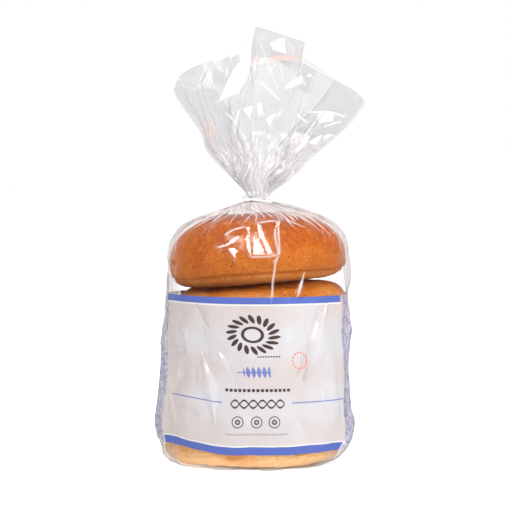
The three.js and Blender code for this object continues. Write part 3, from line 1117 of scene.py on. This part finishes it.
# Film, and what covers it
FILM_MIRROR = (1.0, 0.985, 0.995)
FILM_TINT = (0.43, 0.40, 0.445)
MILK = (0.94, 0.87, 0.85)
FAN_MILK = (0.76, 0.74, 0.755)
GUSSET_GREY = (0.62, 0.52, 0.50)
GUSSET_MILK = (0.78, 0.76, 0.82)
# Painted shade in folds, and the dull colour of the fan's seams and rim
FOLD_SHADE_AND_EDGE = (0.42, 0.33, 0.33)
# Painted highlights on ridges and creases
RIDGE_HIGHLIGHT = (0.97, 0.96, 0.97)
PEACH = (0.95, 0.64, 0.49)
PEACH_EDGE = (0.85, 0.42, 0.27)

# Print
INK_BROWN = (0.065, 0.032, 0.028)
INK_BLUE = (0.085, 0.135, 0.47)
INK_VIOLET = (0.075, 0.07, 0.36)
INK_ORANGE = (0.80, 0.14, 0.045)
FIELD_WHITE = (0.60, 0.58, 0.605)
FIELD_BEIGE = (0.59, 0.52, 0.50)
CREAM = (0.76, 0.73, 0.66)


def crust_group():
    """Baked crust from its place, how high on the bagel it is, and how far up the pale foot reaches. The top
    bagel's lower half also gets painted shade.
    """
    group, start, end = new_group(
        "bagel_crust",
        {"Vector": "NodeSocketVector", "Rise": "NodeSocketFloat", "Pale": "NodeSocketFloat"},
        {"Colour": "NodeSocketColor", "Height": "NodeSocketFloat", "Gloss": "NodeSocketFloat"})
    place = start.outputs["Vector"]
    rise, pale = Field(group, start.outputs["Rise"]), Field(group, start.outputs["Pale"])
    blotch = noise_field(group, place, 42, 3, 0.55)
    mottle = noise_field(group, place, 230, 4, 0.7)
    speck = noise_field(group, place, 700, 3, 0.65)
    pores = creases(group, place, 620)
    level = (rise - pale) * 1.15 + 0.3 + (blotch - 0.5) + (mottle - 0.5) * 0.3
    baked = (level * 2.2 - 0.2).clamped()
    paint = Paint(group, ramp(group, level, CRUST_STOPS))
    paint.lay((mottle - 0.53).clamped(6.0), CRUST_LIGHT, 0.5)
    paint.lay((0.45 - mottle).clamped(7.0) * baked, CRUST_DARK, 0.5)
    paint.lay((speck - 0.53).clamped(9.0) * baked, CRUST_DARK, 0.5)
    paint.lay((0.46 - speck).clamped(9.0), CRUST_LIGHT, 0.5)
    lay_patches(paint, place, baked)
    lay_low_shade_and_foot(paint, rise, pale, mottle)
    lay_spots(paint, place, baked)
    height = mottle * 0.5 + speck * 0.35 + pores.least(0.2) * 0.8
    group.links.new(paint.colour, end.inputs["Colour"])
    group.links.new(height.socket, end.inputs["Height"])
    group.links.new((speck * 0.3 + 0.32).socket, end.inputs["Gloss"])
    return group


def lay_patches(paint, place, baked):
    """Broad redder patches where the crust is baked dark, and golden ones anywhere."""
    red = noise_field(paint.tree, place, 75, 3)
    paint.lay((red - 0.54).clamped(7.0) * baked, CRUST_RED, 0.5)
    golden = noise_field(paint.tree, place, 26, 2)
    paint.lay((golden - 0.5).clamped(6.0), CRUST_LIGHT, 0.24)


def lay_low_shade_and_foot(paint, rise, pale, mottle):
    """Painted shade: darkens the lower half of the top bagel and dulls its foot, whose tan is partly its own
    crust and partly painted shade.
    """
    top_bagel = pale.below(0.1, 0.1)
    # Painted shade over the lower half of the top bagel
    paint.lay((0.62 - rise).clamped(1.7) * top_bagel, CRUST_DARK, 0.55)
    # The foot: its own tan crust, darkened as painted shade
    foot = (pale + 0.17 - rise + (mottle - 0.5) * 0.2).clamped(9.0)
    paint.lay(foot * top_bagel, CRUST_FOOT_AND_SHADE, 0.5)


def lay_spots(paint, place, baked):
    """Small dark spots where the crust is baked dark."""
    spots = noise_field(paint.tree, place, 340, 1)
    paint.lay((spots - 0.68).clamped(14.0) * baked, CRUST_SPOT, 0.6)


def crust_material(group, number, bagel):
    """The crust of one bagel, with its pattern shifted so that no two look alike."""
    material, tree = new_material(f"crust_{number + 1}")
    place = tree.nodes.new("ShaderNodeTexCoord").outputs["Object"]
    shift = tree.nodes.new("ShaderNodeMapping")
    shift.inputs["Location"].default_value = (number * 0.37, number * 0.11, 0)
    tree.links.new(place, shift.inputs["Vector"])
    rise = attribute(tree, "rise").socket
    crust = place_group(tree, group, shift.outputs["Vector"], Rise=rise, Pale=bagel["pale"])
    shader = add(tree, "ShaderNodeBsdfPrincipled")
    shader.inputs["Specular IOR Level"].default_value = 0.16
    tree.links.new(crust.outputs["Colour"], shader.inputs["Base Color"])
    tree.links.new(crust.outputs["Gloss"], shader.inputs["Roughness"])
    height = Field(tree, crust.outputs["Height"])
    tree.links.new(bump(tree, height, 0.6, 0.0007), shader.inputs["Normal"])
    output(tree, shader.outputs[0])
    return material


def film_group(neck_length):
    """Film wrinkles too fine for the mesh, and the milky haze of gathered film near the neck, laid thick
    under the clip partly as painted light.
    """
    group, start, end = new_group("film_crinkle", {"Vector": "NodeSocketVector"},
                                  {"Height": "NodeSocketFloat", "Haze": "NodeSocketFloat"})
    place = start.outputs["Vector"]
    parts = group.nodes.new("ShaderNodeSeparateXYZ")
    group.links.new(place, parts.inputs[0])
    away = Field(group, parts.outputs[1]) - neck_length
    across = across_half(Field(group, parts.outputs[0])) - PRINT_CENTRE
    side = (across.size() * (1 / 70)).least(1.0)
    below = (away / (side * 20.0 + 82.0) + 1.0).most(0.0) * away.math("LESS_THAN", 0.0)
    above = (away * (-1 / 62) + 1.0).most(0.0) * away.math("GREATER_THAN", 0.0)
    haze = neck_haze(group, place, away, across, below, above)
    gathered = below.most(above)
    lines = creases(group, stretched(group, place, (0.3, 0.05, 1)), 1.0)
    height = lines.least(0.25) * (gathered * gathered * 2.2 + 0.06)
    height += creases(group, stretched(group, place, (0.16, 0.11, 1)), 1.0) * 0.35
    group.links.new(height.socket, end.inputs["Height"])
    group.links.new(haze.socket, end.inputs["Haze"])
    return group


def neck_haze(tree, place, away, across, below, above):
    """Milky streaks and bright threads that run from the neck. below and above fall from 1 at the neck
    to 0 where the film of the body and of the fan is clear."""
    streaks = noise_field(tree, stretched(tree, place, (0.42, 0.03, 1)), 1.0, 3, 0.6)
    threads = noise_field(tree, stretched(tree, place, (0.9, 0.05, 1)), 1.0, 2, 0.5)
    streak = (streaks - 0.36).clamped(4.0)
    thread = (threads - 0.54).clamped(7.0)
    dense = (below + streaks * 1.1 - 0.98).clamped(11.0)
    milk = streak * 0.34 + 0.26 - across.least(60.0) * 0.0024
    near = (below * 2.4 - 0.6).clamped()
    shoulder = dense * milk + thread * near * 0.6
    fan = above.math("POWER", 1.6) * (streak * 0.5 + 0.3) + thread * above * 0.3
    # Thick milk round the neck: partly the milky gathered film, partly painted light where the clip shades
    # the film
    neck = (away + 2.0).size().below(7.0, 7.0) * 0.9
    return (shoulder + fan + neck).least(0.95)


def film_layout(tree):
    """The film's UV map, and how far a place is across and up the film in millimetres."""
    layout = tree.nodes.new("ShaderNodeUVMap").outputs[0]
    parts = tree.nodes.new("ShaderNodeSeparateXYZ")
    tree.links.new(layout, parts.inputs[0])
    return layout, Field(tree, parts.outputs[0]), Field(tree, parts.outputs[1])


def across_half(across):
    """How far a place is across its half of the bag: the front or back panel, then the gusset after it."""
    return across.math("MODULO", PANEL_STARTS[2])


def seam_distance(across):
    """Distance from the nearest fold between a panel and a gusset."""
    half = across_half(across)
    return half.least((half - PANEL_STARTS[1]).size()).least(PANEL_STARTS[2] - half)


class Film:
    """Clear film, covered bit by bit: its colour, how much it hides, and how much of that is mirror.
    It mirrors most where it is seen edge-on, and a little on the panels. fan is 1 above the neck."""

    def __init__(self, tree, layout, across, fan, group):
        self.tree = tree
        self.crinkle = place_group(tree, group, layout)
        rough = Field(tree, self.crinkle.outputs["Height"]) * (1.0 - attribute(tree, "taut"))
        self.wrinkle = bump(tree, rough, 0.3, 0.0008)
        weight = add(tree, "ShaderNodeLayerWeight", Blend=0.5)
        tree.links.new(self.wrinkle, weight.inputs["Normal"])
        slant = Field(tree, weight.outputs["Facing"])
        panel = (across_half(across) - PANEL_STARTS[1] - 6.0).below(0.0, 12.0)
        edge = seam_distance(across).below(2.0, 1.6) * fan
        base = fan * 0.07 + attribute(tree, "taut") * 0.024 + 0.004
        glance = slant.math("POWER", 4.6) * (1.0 - edge * 0.95) * 0.85
        self.alpha = (glance + panel * base + 0.004).least(0.9)
        self.metal = 1.0    # all mirror until it is covered
        self.paint = Paint(tree, FILM_MIRROR)

    def cover(self, mask, colour):
        """Lays a dull colour over the film where mask is above 0."""
        hidden = mask + (1.0 - mask) * self.alpha
        share = mask / hidden
        self.paint.lay(share, colour)
        self.metal = (1.0 - share) * self.metal
        self.alpha = hidden

    def shader(self):
        """The film's shader, rougher the more it is covered."""
        shader = add(self.tree, "ShaderNodeBsdfPrincipled")
        links = self.tree.links
        links.new(self.paint.colour, shader.inputs["Base Color"])
        links.new(self.metal.socket, shader.inputs["Metallic"])
        links.new(((1.0 - self.metal) * 0.31 + 0.04).socket, shader.inputs["Roughness"])
        links.new(self.alpha.socket, shader.inputs["Alpha"])
        links.new(self.wrinkle, shader.inputs["Normal"])
        return shader.outputs[0]


def bare_film(tree, layout, across, fan, group):
    """Clear film with its haze, painted shade in its folds and painted highlights on its ridges. fan is 1
    above the neck and 0 below it.
    """
    film = Film(tree, layout, across, fan, group)
    film.cover(fan * 0.12 + 0.004, FILM_TINT)
    middle = (across_half(across) - PANEL_STARTS[1] / 2).size().below(38.0, 24.0)
    film.cover(middle * fan * 0.06, FILM_TINT)
    haze = Field(tree, film.crinkle.outputs["Haze"])
    film.cover((1.0 - fan) * haze, MILK)
    film.cover(fan * haze, FAN_MILK)
    # Painted shade in the folds and painted highlights on the ridges and creases
    film.cover(attribute(tree, "fold") * 0.16, FOLD_SHADE_AND_EDGE)
    film.cover(attribute(tree, "ridge") * 0.6, RIDGE_HIGHLIGHT)
    return film


def clear_material(group, rim_length):
    """The clear film: duller at its gussets and foot, with painted shade in its folds, painted highlights on
    its ridges and a tinged rim.
    """
    material, tree = new_material("film_clear")
    layout, across, up = film_layout(tree)
    neck = rim_length - FAN_LENGTH
    film = bare_film(tree, layout, across, up.math("GREATER_THAN", neck - 4.0), group)
    film.cover(seam_distance(across).below(0.35, 0.3) * up.math("GREATER_THAN", neck) * 0.1, FOLD_SHADE_AND_EDGE)
    cover_gussets(film, across, up.math("LESS_THAN", neck - 50.0))
    cover_foot(film, layout, across, up)
    cover_fan(film, layout, across, rim_length - up)
    output(tree, film.shader())
    return material


def cover_gussets(film, across, low):
    """Grey where two layers of a gusset lie behind each other, below the shoulder."""
    middle = (PANEL_STARTS[1] + PANEL_STARTS[2]) / 2
    gusset = (across_half(across) - middle).size().below(15.0, 18.0)
    film.cover(gusset * low * 0.3, GUSSET_GREY)


def cover_foot(film, layout, across, up):
    """Grey film under the print, most where it is folded under at the corners."""
    tree = film.tree
    film.cover(up.below(FIELD_BOTTOM, 0.5) * noise_field(tree, layout, 0.1, 2) * 0.06, GUSSET_GREY)
    corner = seam_distance(across).below(15.0, 12.0) * up.below(FIELD_BOTTOM + 3.0, 3.0)
    film.cover(corner * noise_field(tree, layout, 0.2, 2) * 0.4, GUSSET_GREY)


def cover_fan(film, layout, across, inner):
    """The fan's marks: a peach arc along the front rim, a faint peach spot at the left, the doubled lip
    of the back and the thin dull rim. inner is the distance from the rim."""
    tree = film.tree
    arc = (across - PEACH_MIDDLE).size().below(17.0, 10.0)
    film.cover(inner.below(3.6, 1.4) * arc * noise_field(tree, layout, 0.12, 1) * 0.5, PEACH)
    film.cover(inner.below(1.2, 0.5) * arc * 0.35, PEACH_EDGE)
    place = tree.nodes.new("ShaderNodeSeparateXYZ")
    tree.links.new(tree.nodes.new("ShaderNodeTexCoord").outputs["Object"], place.inputs[0])
    x, z = Field(tree, place.outputs[0]) + 0.0328, Field(tree, place.outputs[2]) - 0.2133
    film.cover(ellipse(x, z, 0.0032, 0.0055).below(1.0, 0.7) * 0.12, PEACH)
    lip = inner.below(16.0, 3.0) * (across - LIP_MIDDLE).size().below(40.0, 4.0)
    film.cover(lip * 0.32, FILM_TINT)
    film.cover(inner.below(0.9, 0.5) * 0.05, FOLD_SHADE_AND_EDGE)


def printed_shader(tree, colour, wrinkle):
    """Opaque printed film with a thin gloss over the ink."""
    shader = add(tree, "ShaderNodeBsdfPrincipled", Roughness=0.4)
    shader.inputs["Specular IOR Level"].default_value = 0.5
    shader.inputs["Coat Weight"].default_value = 0.15
    shader.inputs["Coat Roughness"].default_value = 0.08
    tree.links.new(colour, shader.inputs["Base Color"])
    tree.links.new(wrinkle, shader.inputs["Normal"])
    return shader.outputs[0]


def grain_wreath(paint, x, y):
    """An oval ring of leaf-shaped grains round a small plain ring."""
    grains, radius = 18, 9.8
    wide = x / 1.42
    out = wide.distance(y)
    slot = (y.math("ARCTAN2", wide) * (grains / (2 * math.pi)) + 100).math("FRACT") - 0.5
    arc = slot * (2 * math.pi / grains) * out
    lean = (out - radius) * 0.35
    paint.lay(ellipse(arc - lean, out - radius, 1.15, 2.7).below(1, 0.1), INK_BROWN)
    paint.lay((out - 4.4).size().below(0.75), INK_BROWN)


def bars(paint, x, y, half_width, thickness, step, ink, strength=1.0):
    """A row of short bars."""
    inside = x.size().below(half_width, 0.1) * y.size().below(thickness / 2, 0.1)
    marks = x.repeat(step).below(step * 0.34, 0.1)
    paint.lay(inside * marks, ink, strength)


def wheat_ear(paint, x, y, ink):
    """A lying ear: a stalk with pairs of slanting grains."""
    grain = (x + 40).repeat(3.6) - 0.9
    paint.lay(ellipse(grain - y.size() * 0.45, y.size() - 2.1, 1.0, 2.2).below(1, 0.15)
              * x.size().below(9.0), ink, 0.85)
    paint.lay(y.size().below(0.35) * (x + 2.0).size().below(11.5), ink, 0.85)


def front_art(paint, x, y):
    """Plain ornaments of the front panel, placed from its middle line and the height."""
    grain_wreath(paint, x, y - 85.5)
    bars(paint, x - 9.0, y - 71.8, 8.0, 0.9, 1.7, INK_BROWN)
    wheat_ear(paint, x, y - 62.0, INK_BLUE)
    bars(paint, x, y - 50.6, 22.8, 1.9, 3.0, INK_BROWN)
    for turn in (0.0, math.pi):
        wave = y - 42.0 - (x * 0.52 + turn).math("SINE") * 2.4
        paint.lay(wave.size().below(0.62, 0.2) * x.size().below(18.2), INK_BROWN)
    for at in (-12.9, -0.6, 11.1):
        ring = (x - at).distance(y - 30.5)
        paint.lay((ring - 3.5).size().below(0.35), INK_BROWN, 0.9)
        paint.lay((ring - 1.2).size().below(0.55), INK_BROWN, 0.9)
    bars(paint, x, y - 22.7, 20.5, 1.0, 1.7, INK_BROWN, 0.5)
    dots = (x - 30.0).distance(y - 69.0)
    turn = (y - 69.0).math("ARCTAN2", x - 30.0) * (14 / math.pi)
    paint.lay((dots - 5.0).size().below(0.5) * (turn + 28).repeat(2.0).below(0.6, 0.2), INK_ORANGE, 0.9)
    rule = (y - 42.4).size().below(0.4)
    paint.lay(rule * (x.size() - 46.5).size().below(22.5), INK_BLUE, 0.8)


def back_art(paint, x, y):
    """The back panel: a plain ruled box and rows of bars."""
    box = x.size() - 22.0
    tall = (y - 72.0).size() - 20.0
    paint.lay(box.most(tall).size().below(0.35), INK_BROWN, 0.8)
    for k in range(5):
        rule = (y - 84.0 + 6.0 * k).size().below(0.22)
        paint.lay(rule * x.size().below(20.0), INK_BROWN, 0.6)
    for k, half_width in enumerate((30.0, 24.0, 30.0)):
        bars(paint, x, y - 38.0 + 4.5 * k, half_width, 1.2, 2.6, INK_BROWN, 0.6)


def blue_bands(paint, up):
    """A blue band with a cream inner edge at the top and at the foot of the printed field."""
    low, high = FIELD_BOTTOM + LOW_BAND, FIELD_TOP - BAND
    edge = (up - (low + high) / 2).size() - (high - low) / 2
    paint.lay((edge + 0.5).size().below(0.5), CREAM)
    paint.lay((edge * -1).below(0.0), INK_BLUE)


def printed_material(group):
    """The opaque field of the front and back panels."""
    material, tree = new_material("film_printed")
    layout, across, up = film_layout(tree)
    paint = Paint(tree, FIELD_WHITE)
    tint = noise_field(tree, stretched(tree, layout, (0.022, 0.03, 1)), 1.0, 3)
    swell = ((up - 20.0) * (2 * math.pi / 40)).math("COSINE") * 0.16
    back = across.math("GREATER_THAN", PANEL_STARTS[2] - 1)
    x = across - PRINT_CENTRE - back * PANEL_STARTS[2]
    # Beige laid thicker towards the left of the panel is painted shade, for light that falls from the right;
    # the rest of the beige varies at random and with height.
    left = (x * -0.02 - 0.4).clamped() * 0.3
    paint.lay((tint + swell + left - 0.40).clamped(3.4), FIELD_BEIGE, 0.9)
    front_art(paint, x + back * OFF_PANEL, up)
    back_art(paint, x + (back * -OFF_PANEL + OFF_PANEL), up)
    blue_bands(paint, up)
    # Painted shade in the print's folds and painted highlights on its ridges
    paint.lay(attribute(tree, "fold") * 0.14, FOLD_SHADE_AND_EDGE)
    paint.lay(attribute(tree, "ridge") * 0.08, RIDGE_HIGHLIGHT)
    crinkle = place_group(tree, group, layout)
    wrinkle = bump(tree, Field(tree, crinkle.outputs["Height"]), 0.3, 0.0008)
    output(tree, printed_shader(tree, paint.colour, wrinkle))
    return material


def leafy_stems(across, up):
    """Lines of swaying stems side by side, with a veined leaf on either side at each rung."""
    middle, half = (PANEL_STARTS[1] + PANEL_STARTS[2]) / 2, PANEL_STARTS[2]
    x = (across - middle + across.math("GREATER_THAN", 300.0) * -half) * 0.5
    sway = (up * 0.14).math("SINE") * 1.6
    mask = None
    for offset in (-9.6, -3.2, 3.2, 9.6):
        local = x - offset - sway
        stem = local.size().below(0.3, 0.25)
        rung = (up + (offset * 1.7 + 40)).math("MODULO", 9.0) - 4.5
        side = local.size() - 1.7 - rung * 0.22
        leaf = ellipse(side, rung, 1.2, 4.0)
        vein = side.size().below(0.16, 0.2) * leaf.below(0.8, 0.1)
        lines = stem.most((leaf - 1).size().below(0.2, 0.14)).most(vein)
        mask = lines if mask is None else mask.most(lines)
    return mask


def gusset_material(group):
    """Clear gusset film with a running leaf pattern in thin violet lines."""
    material, tree = new_material("film_gusset")
    layout, across, up = film_layout(tree)
    film = bare_film(tree, layout, across, up * 0.0, group)
    film.cover(noise_field(tree, layout, 0.2) * 0.35 + 0.35, GUSSET_MILK)
    film.cover(leafy_stems(across, up) * 0.62, INK_VIOLET)
    output(tree, film.shader())
    return material


def clip_material():
    """White moulded plastic, faintly clouded and grained."""
    material, tree = new_material("clip_plastic")
    place = tree.nodes.new("ShaderNodeTexCoord").outputs["Object"]
    grain = noise_field(tree, place, 1400, 2)
    paint = Paint(tree, (0.95, 0.94, 0.94))
    paint.lay(noise_field(tree, place, 120, 2), (0.88, 0.87, 0.87), 0.5)
    shader = add(tree, "ShaderNodeBsdfPrincipled", Roughness=0.38)
    tree.links.new(paint.colour, shader.inputs["Base Color"])
    tree.links.new(bump(tree, grain, 0.12, 0.0002), shader.inputs["Normal"])
    output(tree, shader.outputs[0])
    return material


# ---------------------------------------------------------------- studio

# Glow of the floor from the middle of the pack out, in metres: dark under the pack as a painted shadow, even
# beyond it
FLOOR_GLOW_AND_SHADOW = [(0.040, (0.1,) * 3), (0.052, (0.97,) * 3), (0.3, (0.97,) * 3), (0.9, (1.0,) * 3)]


def make_floor():
    """A floor that glows evenly to the eye, with a painted shadow of dark glow under the pack, and is dim in
    the film's mirror.
    """
    bm = bmesh.new()
    bmesh.ops.create_circle(bm, cap_ends=True, radius=6.0, segments=96)
    floor = finish_mesh(bm, "studio_floor")
    material, tree = new_material("floor_white")
    shader = add(tree, "ShaderNodeBsdfPrincipled", Roughness=0.9)
    shader.inputs["Base Color"].default_value = (0.45, 0.45, 0.45, 1)
    shader.inputs["Specular IOR Level"].default_value = 0.0
    place = tree.nodes.new("ShaderNodeTexCoord").outputs["Object"]
    length = tree.nodes.new("ShaderNodeVectorMath")
    length.operation = "LENGTH"
    tree.links.new(place, length.inputs[0])
    glow_and_shadow = ramp(tree, Field(tree, length.outputs["Value"]), FLOOR_GLOW_AND_SHADOW)
    tree.links.new(glow_and_shadow, shader.inputs["Emission Color"])
    shader.inputs["Emission Strength"].default_value = 1.0
    dim = add(tree, "ShaderNodeEmission", Color=(1, 1, 1, 1), Strength=0.16)
    mirrored = Field(tree, tree.nodes.new("ShaderNodeLightPath").outputs["Is Glossy Ray"])
    output(tree, blend_shaders(tree, mirrored, shader.outputs[0], dim.outputs[0]))
    floor.data.materials.append(material)


# Area lights: azimuth and elevation in degrees, distance, size and strength, and whether they are seen
# mirrored in the film or light the rest
SOFTBOXES = [
    ("key_mirrored", -18, 52, 1.3, (0.38, 0.72), 42.0, True),
    ("left_mirrored", -68, 12, 1.4, (0.06, 1.0), 5.0, True),
    ("right_mirrored", 62, 12, 1.4, (0.07, 1.0), 6.0, True),
    ("key_light", -12, 48, 1.3, (0.5, 0.5), 11.2, False),
    ("left_light", -75, 12, 1.4, (0.2, 1.0), 2.8, False),
    ("right_light", 68, 14, 1.4, (0.2, 1.0), 9.0, False),
    ("front_light", 30, 20, 1.6, (0.7, 0.6), 5.4, False),
    ("top_light", 180, 80, 1.4, (1.0, 1.0), 2.6, False),
]


def make_softbox(name, azimuth, elevation, distance, size, strength, mirrored):
    """An area light on a sphere round the pack, aimed at its middle."""
    light = bpy.data.lights.new(name, "AREA")
    light.shape = "RECTANGLE"
    light.size, light.size_y = size
    light.energy = strength * size[0] * size[1] * math.pi
    lamp = bpy.data.objects.new(name, light)
    a, e = math.radians(azimuth), math.radians(elevation)
    back = Vector((math.sin(a) * math.cos(e), -math.cos(a) * math.cos(e), math.sin(e)))
    lamp.location = Vector((0, 0, 0.13)) + back * distance
    lamp.rotation_euler = (-back).to_track_quat("-Z", "Y").to_euler()
    lamp.visible_camera = False
    lamp.visible_glossy = mirrored
    lamp.visible_diffuse = not mirrored
    bpy.context.scene.collection.objects.link(lamp)


# From in front of the pack to behind it
WORLD_STOPS = [(0.0, (0.1,) * 3), (0.3, (0.12,) * 3), (0.6, (0.23,) * 3), (0.95, (0.86,) * 3)]


def make_world():
    """White to the eye; a bright sweep behind and a dark room in front to what the film mirrors."""
    world = bpy.data.worlds.new("studio")
    bpy.context.scene.world = world
    world.use_nodes = True
    tree = world.node_tree
    tree.nodes.clear()
    way = tree.nodes.new("ShaderNodeTexCoord").outputs["Generated"]
    parts = tree.nodes.new("ShaderNodeSeparateXYZ")
    tree.links.new(way, parts.inputs[0])
    sweep = ramp(tree, Field(tree, parts.outputs[1]) * 0.5 + 0.5, WORLD_STOPS)
    room = add(tree, "ShaderNodeBackground", Strength=1.0)
    tree.links.new(sweep, room.inputs["Color"])
    seen = add(tree, "ShaderNodeBackground", Color=(1, 1, 1, 1), Strength=1.0)
    eye = Field(tree, tree.nodes.new("ShaderNodeLightPath").outputs["Is Camera Ray"])
    end = tree.nodes.new("ShaderNodeOutputWorld")
    shader = blend_shaders(tree, eye, room.outputs[0], seen.outputs[0])
    tree.links.new(shader, end.inputs["Surface"])


def make_camera():
    """The camera, in front of the pack and level with its top bagel."""
    data = bpy.data.cameras.new("camera")
    data.lens, data.sensor_width = CAMERA_LENS, 36
    data.clip_start, data.clip_end = 0.05, 50
    camera = bpy.data.objects.new("camera", data)
    camera.location = Vector(CAMERA_PLACE) * MM
    camera.rotation_euler = (math.pi / 2 + CAMERA_PITCH, 0, 0)
    bpy.context.scene.collection.objects.link(camera)
    bpy.context.scene.camera = camera


# ---------------------------------------------------------------- assembly

def main():
    scene = bpy.context.scene
    scene.view_settings.view_transform = "Standard"
    scene.cycles.transparent_max_bounces = 48
    scene.cycles.max_bounces = 10
    make_camera()
    make_world()
    make_floor()
    for softbox in SOFTBOXES:
        make_softbox(*softbox)
    add_bagels()
    add_film()
    add_clip()


def add_bagels():
    """The stack of bagels inside the bag."""
    crust = crust_group()
    for number, bagel in enumerate(BAGELS):
        piece = make_bagel(number, bagel)
        piece.data.materials.append(crust_material(crust, number, bagel))
        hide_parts("bag")
        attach(piece, "root")


def add_film():
    """The bag's film, clear, printed on its panels and patterned on its gussets."""
    parts = film_parts()
    neck_length, rim_length = parts[-1][2][[0, -1]].tolist()
    group = film_group(neck_length)
    materials = [clear_material(group, rim_length), printed_material(group), gusset_material(group)]
    for name, *form in parts:
        film = make_film(name, *form, materials)
        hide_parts("bag")
        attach(film, "root")


def add_clip():
    """The clip across the neck."""
    clip = make_clip()
    clip.data.materials.append(clip_material())
    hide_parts("bag_clip")
    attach(clip, "root")


main()
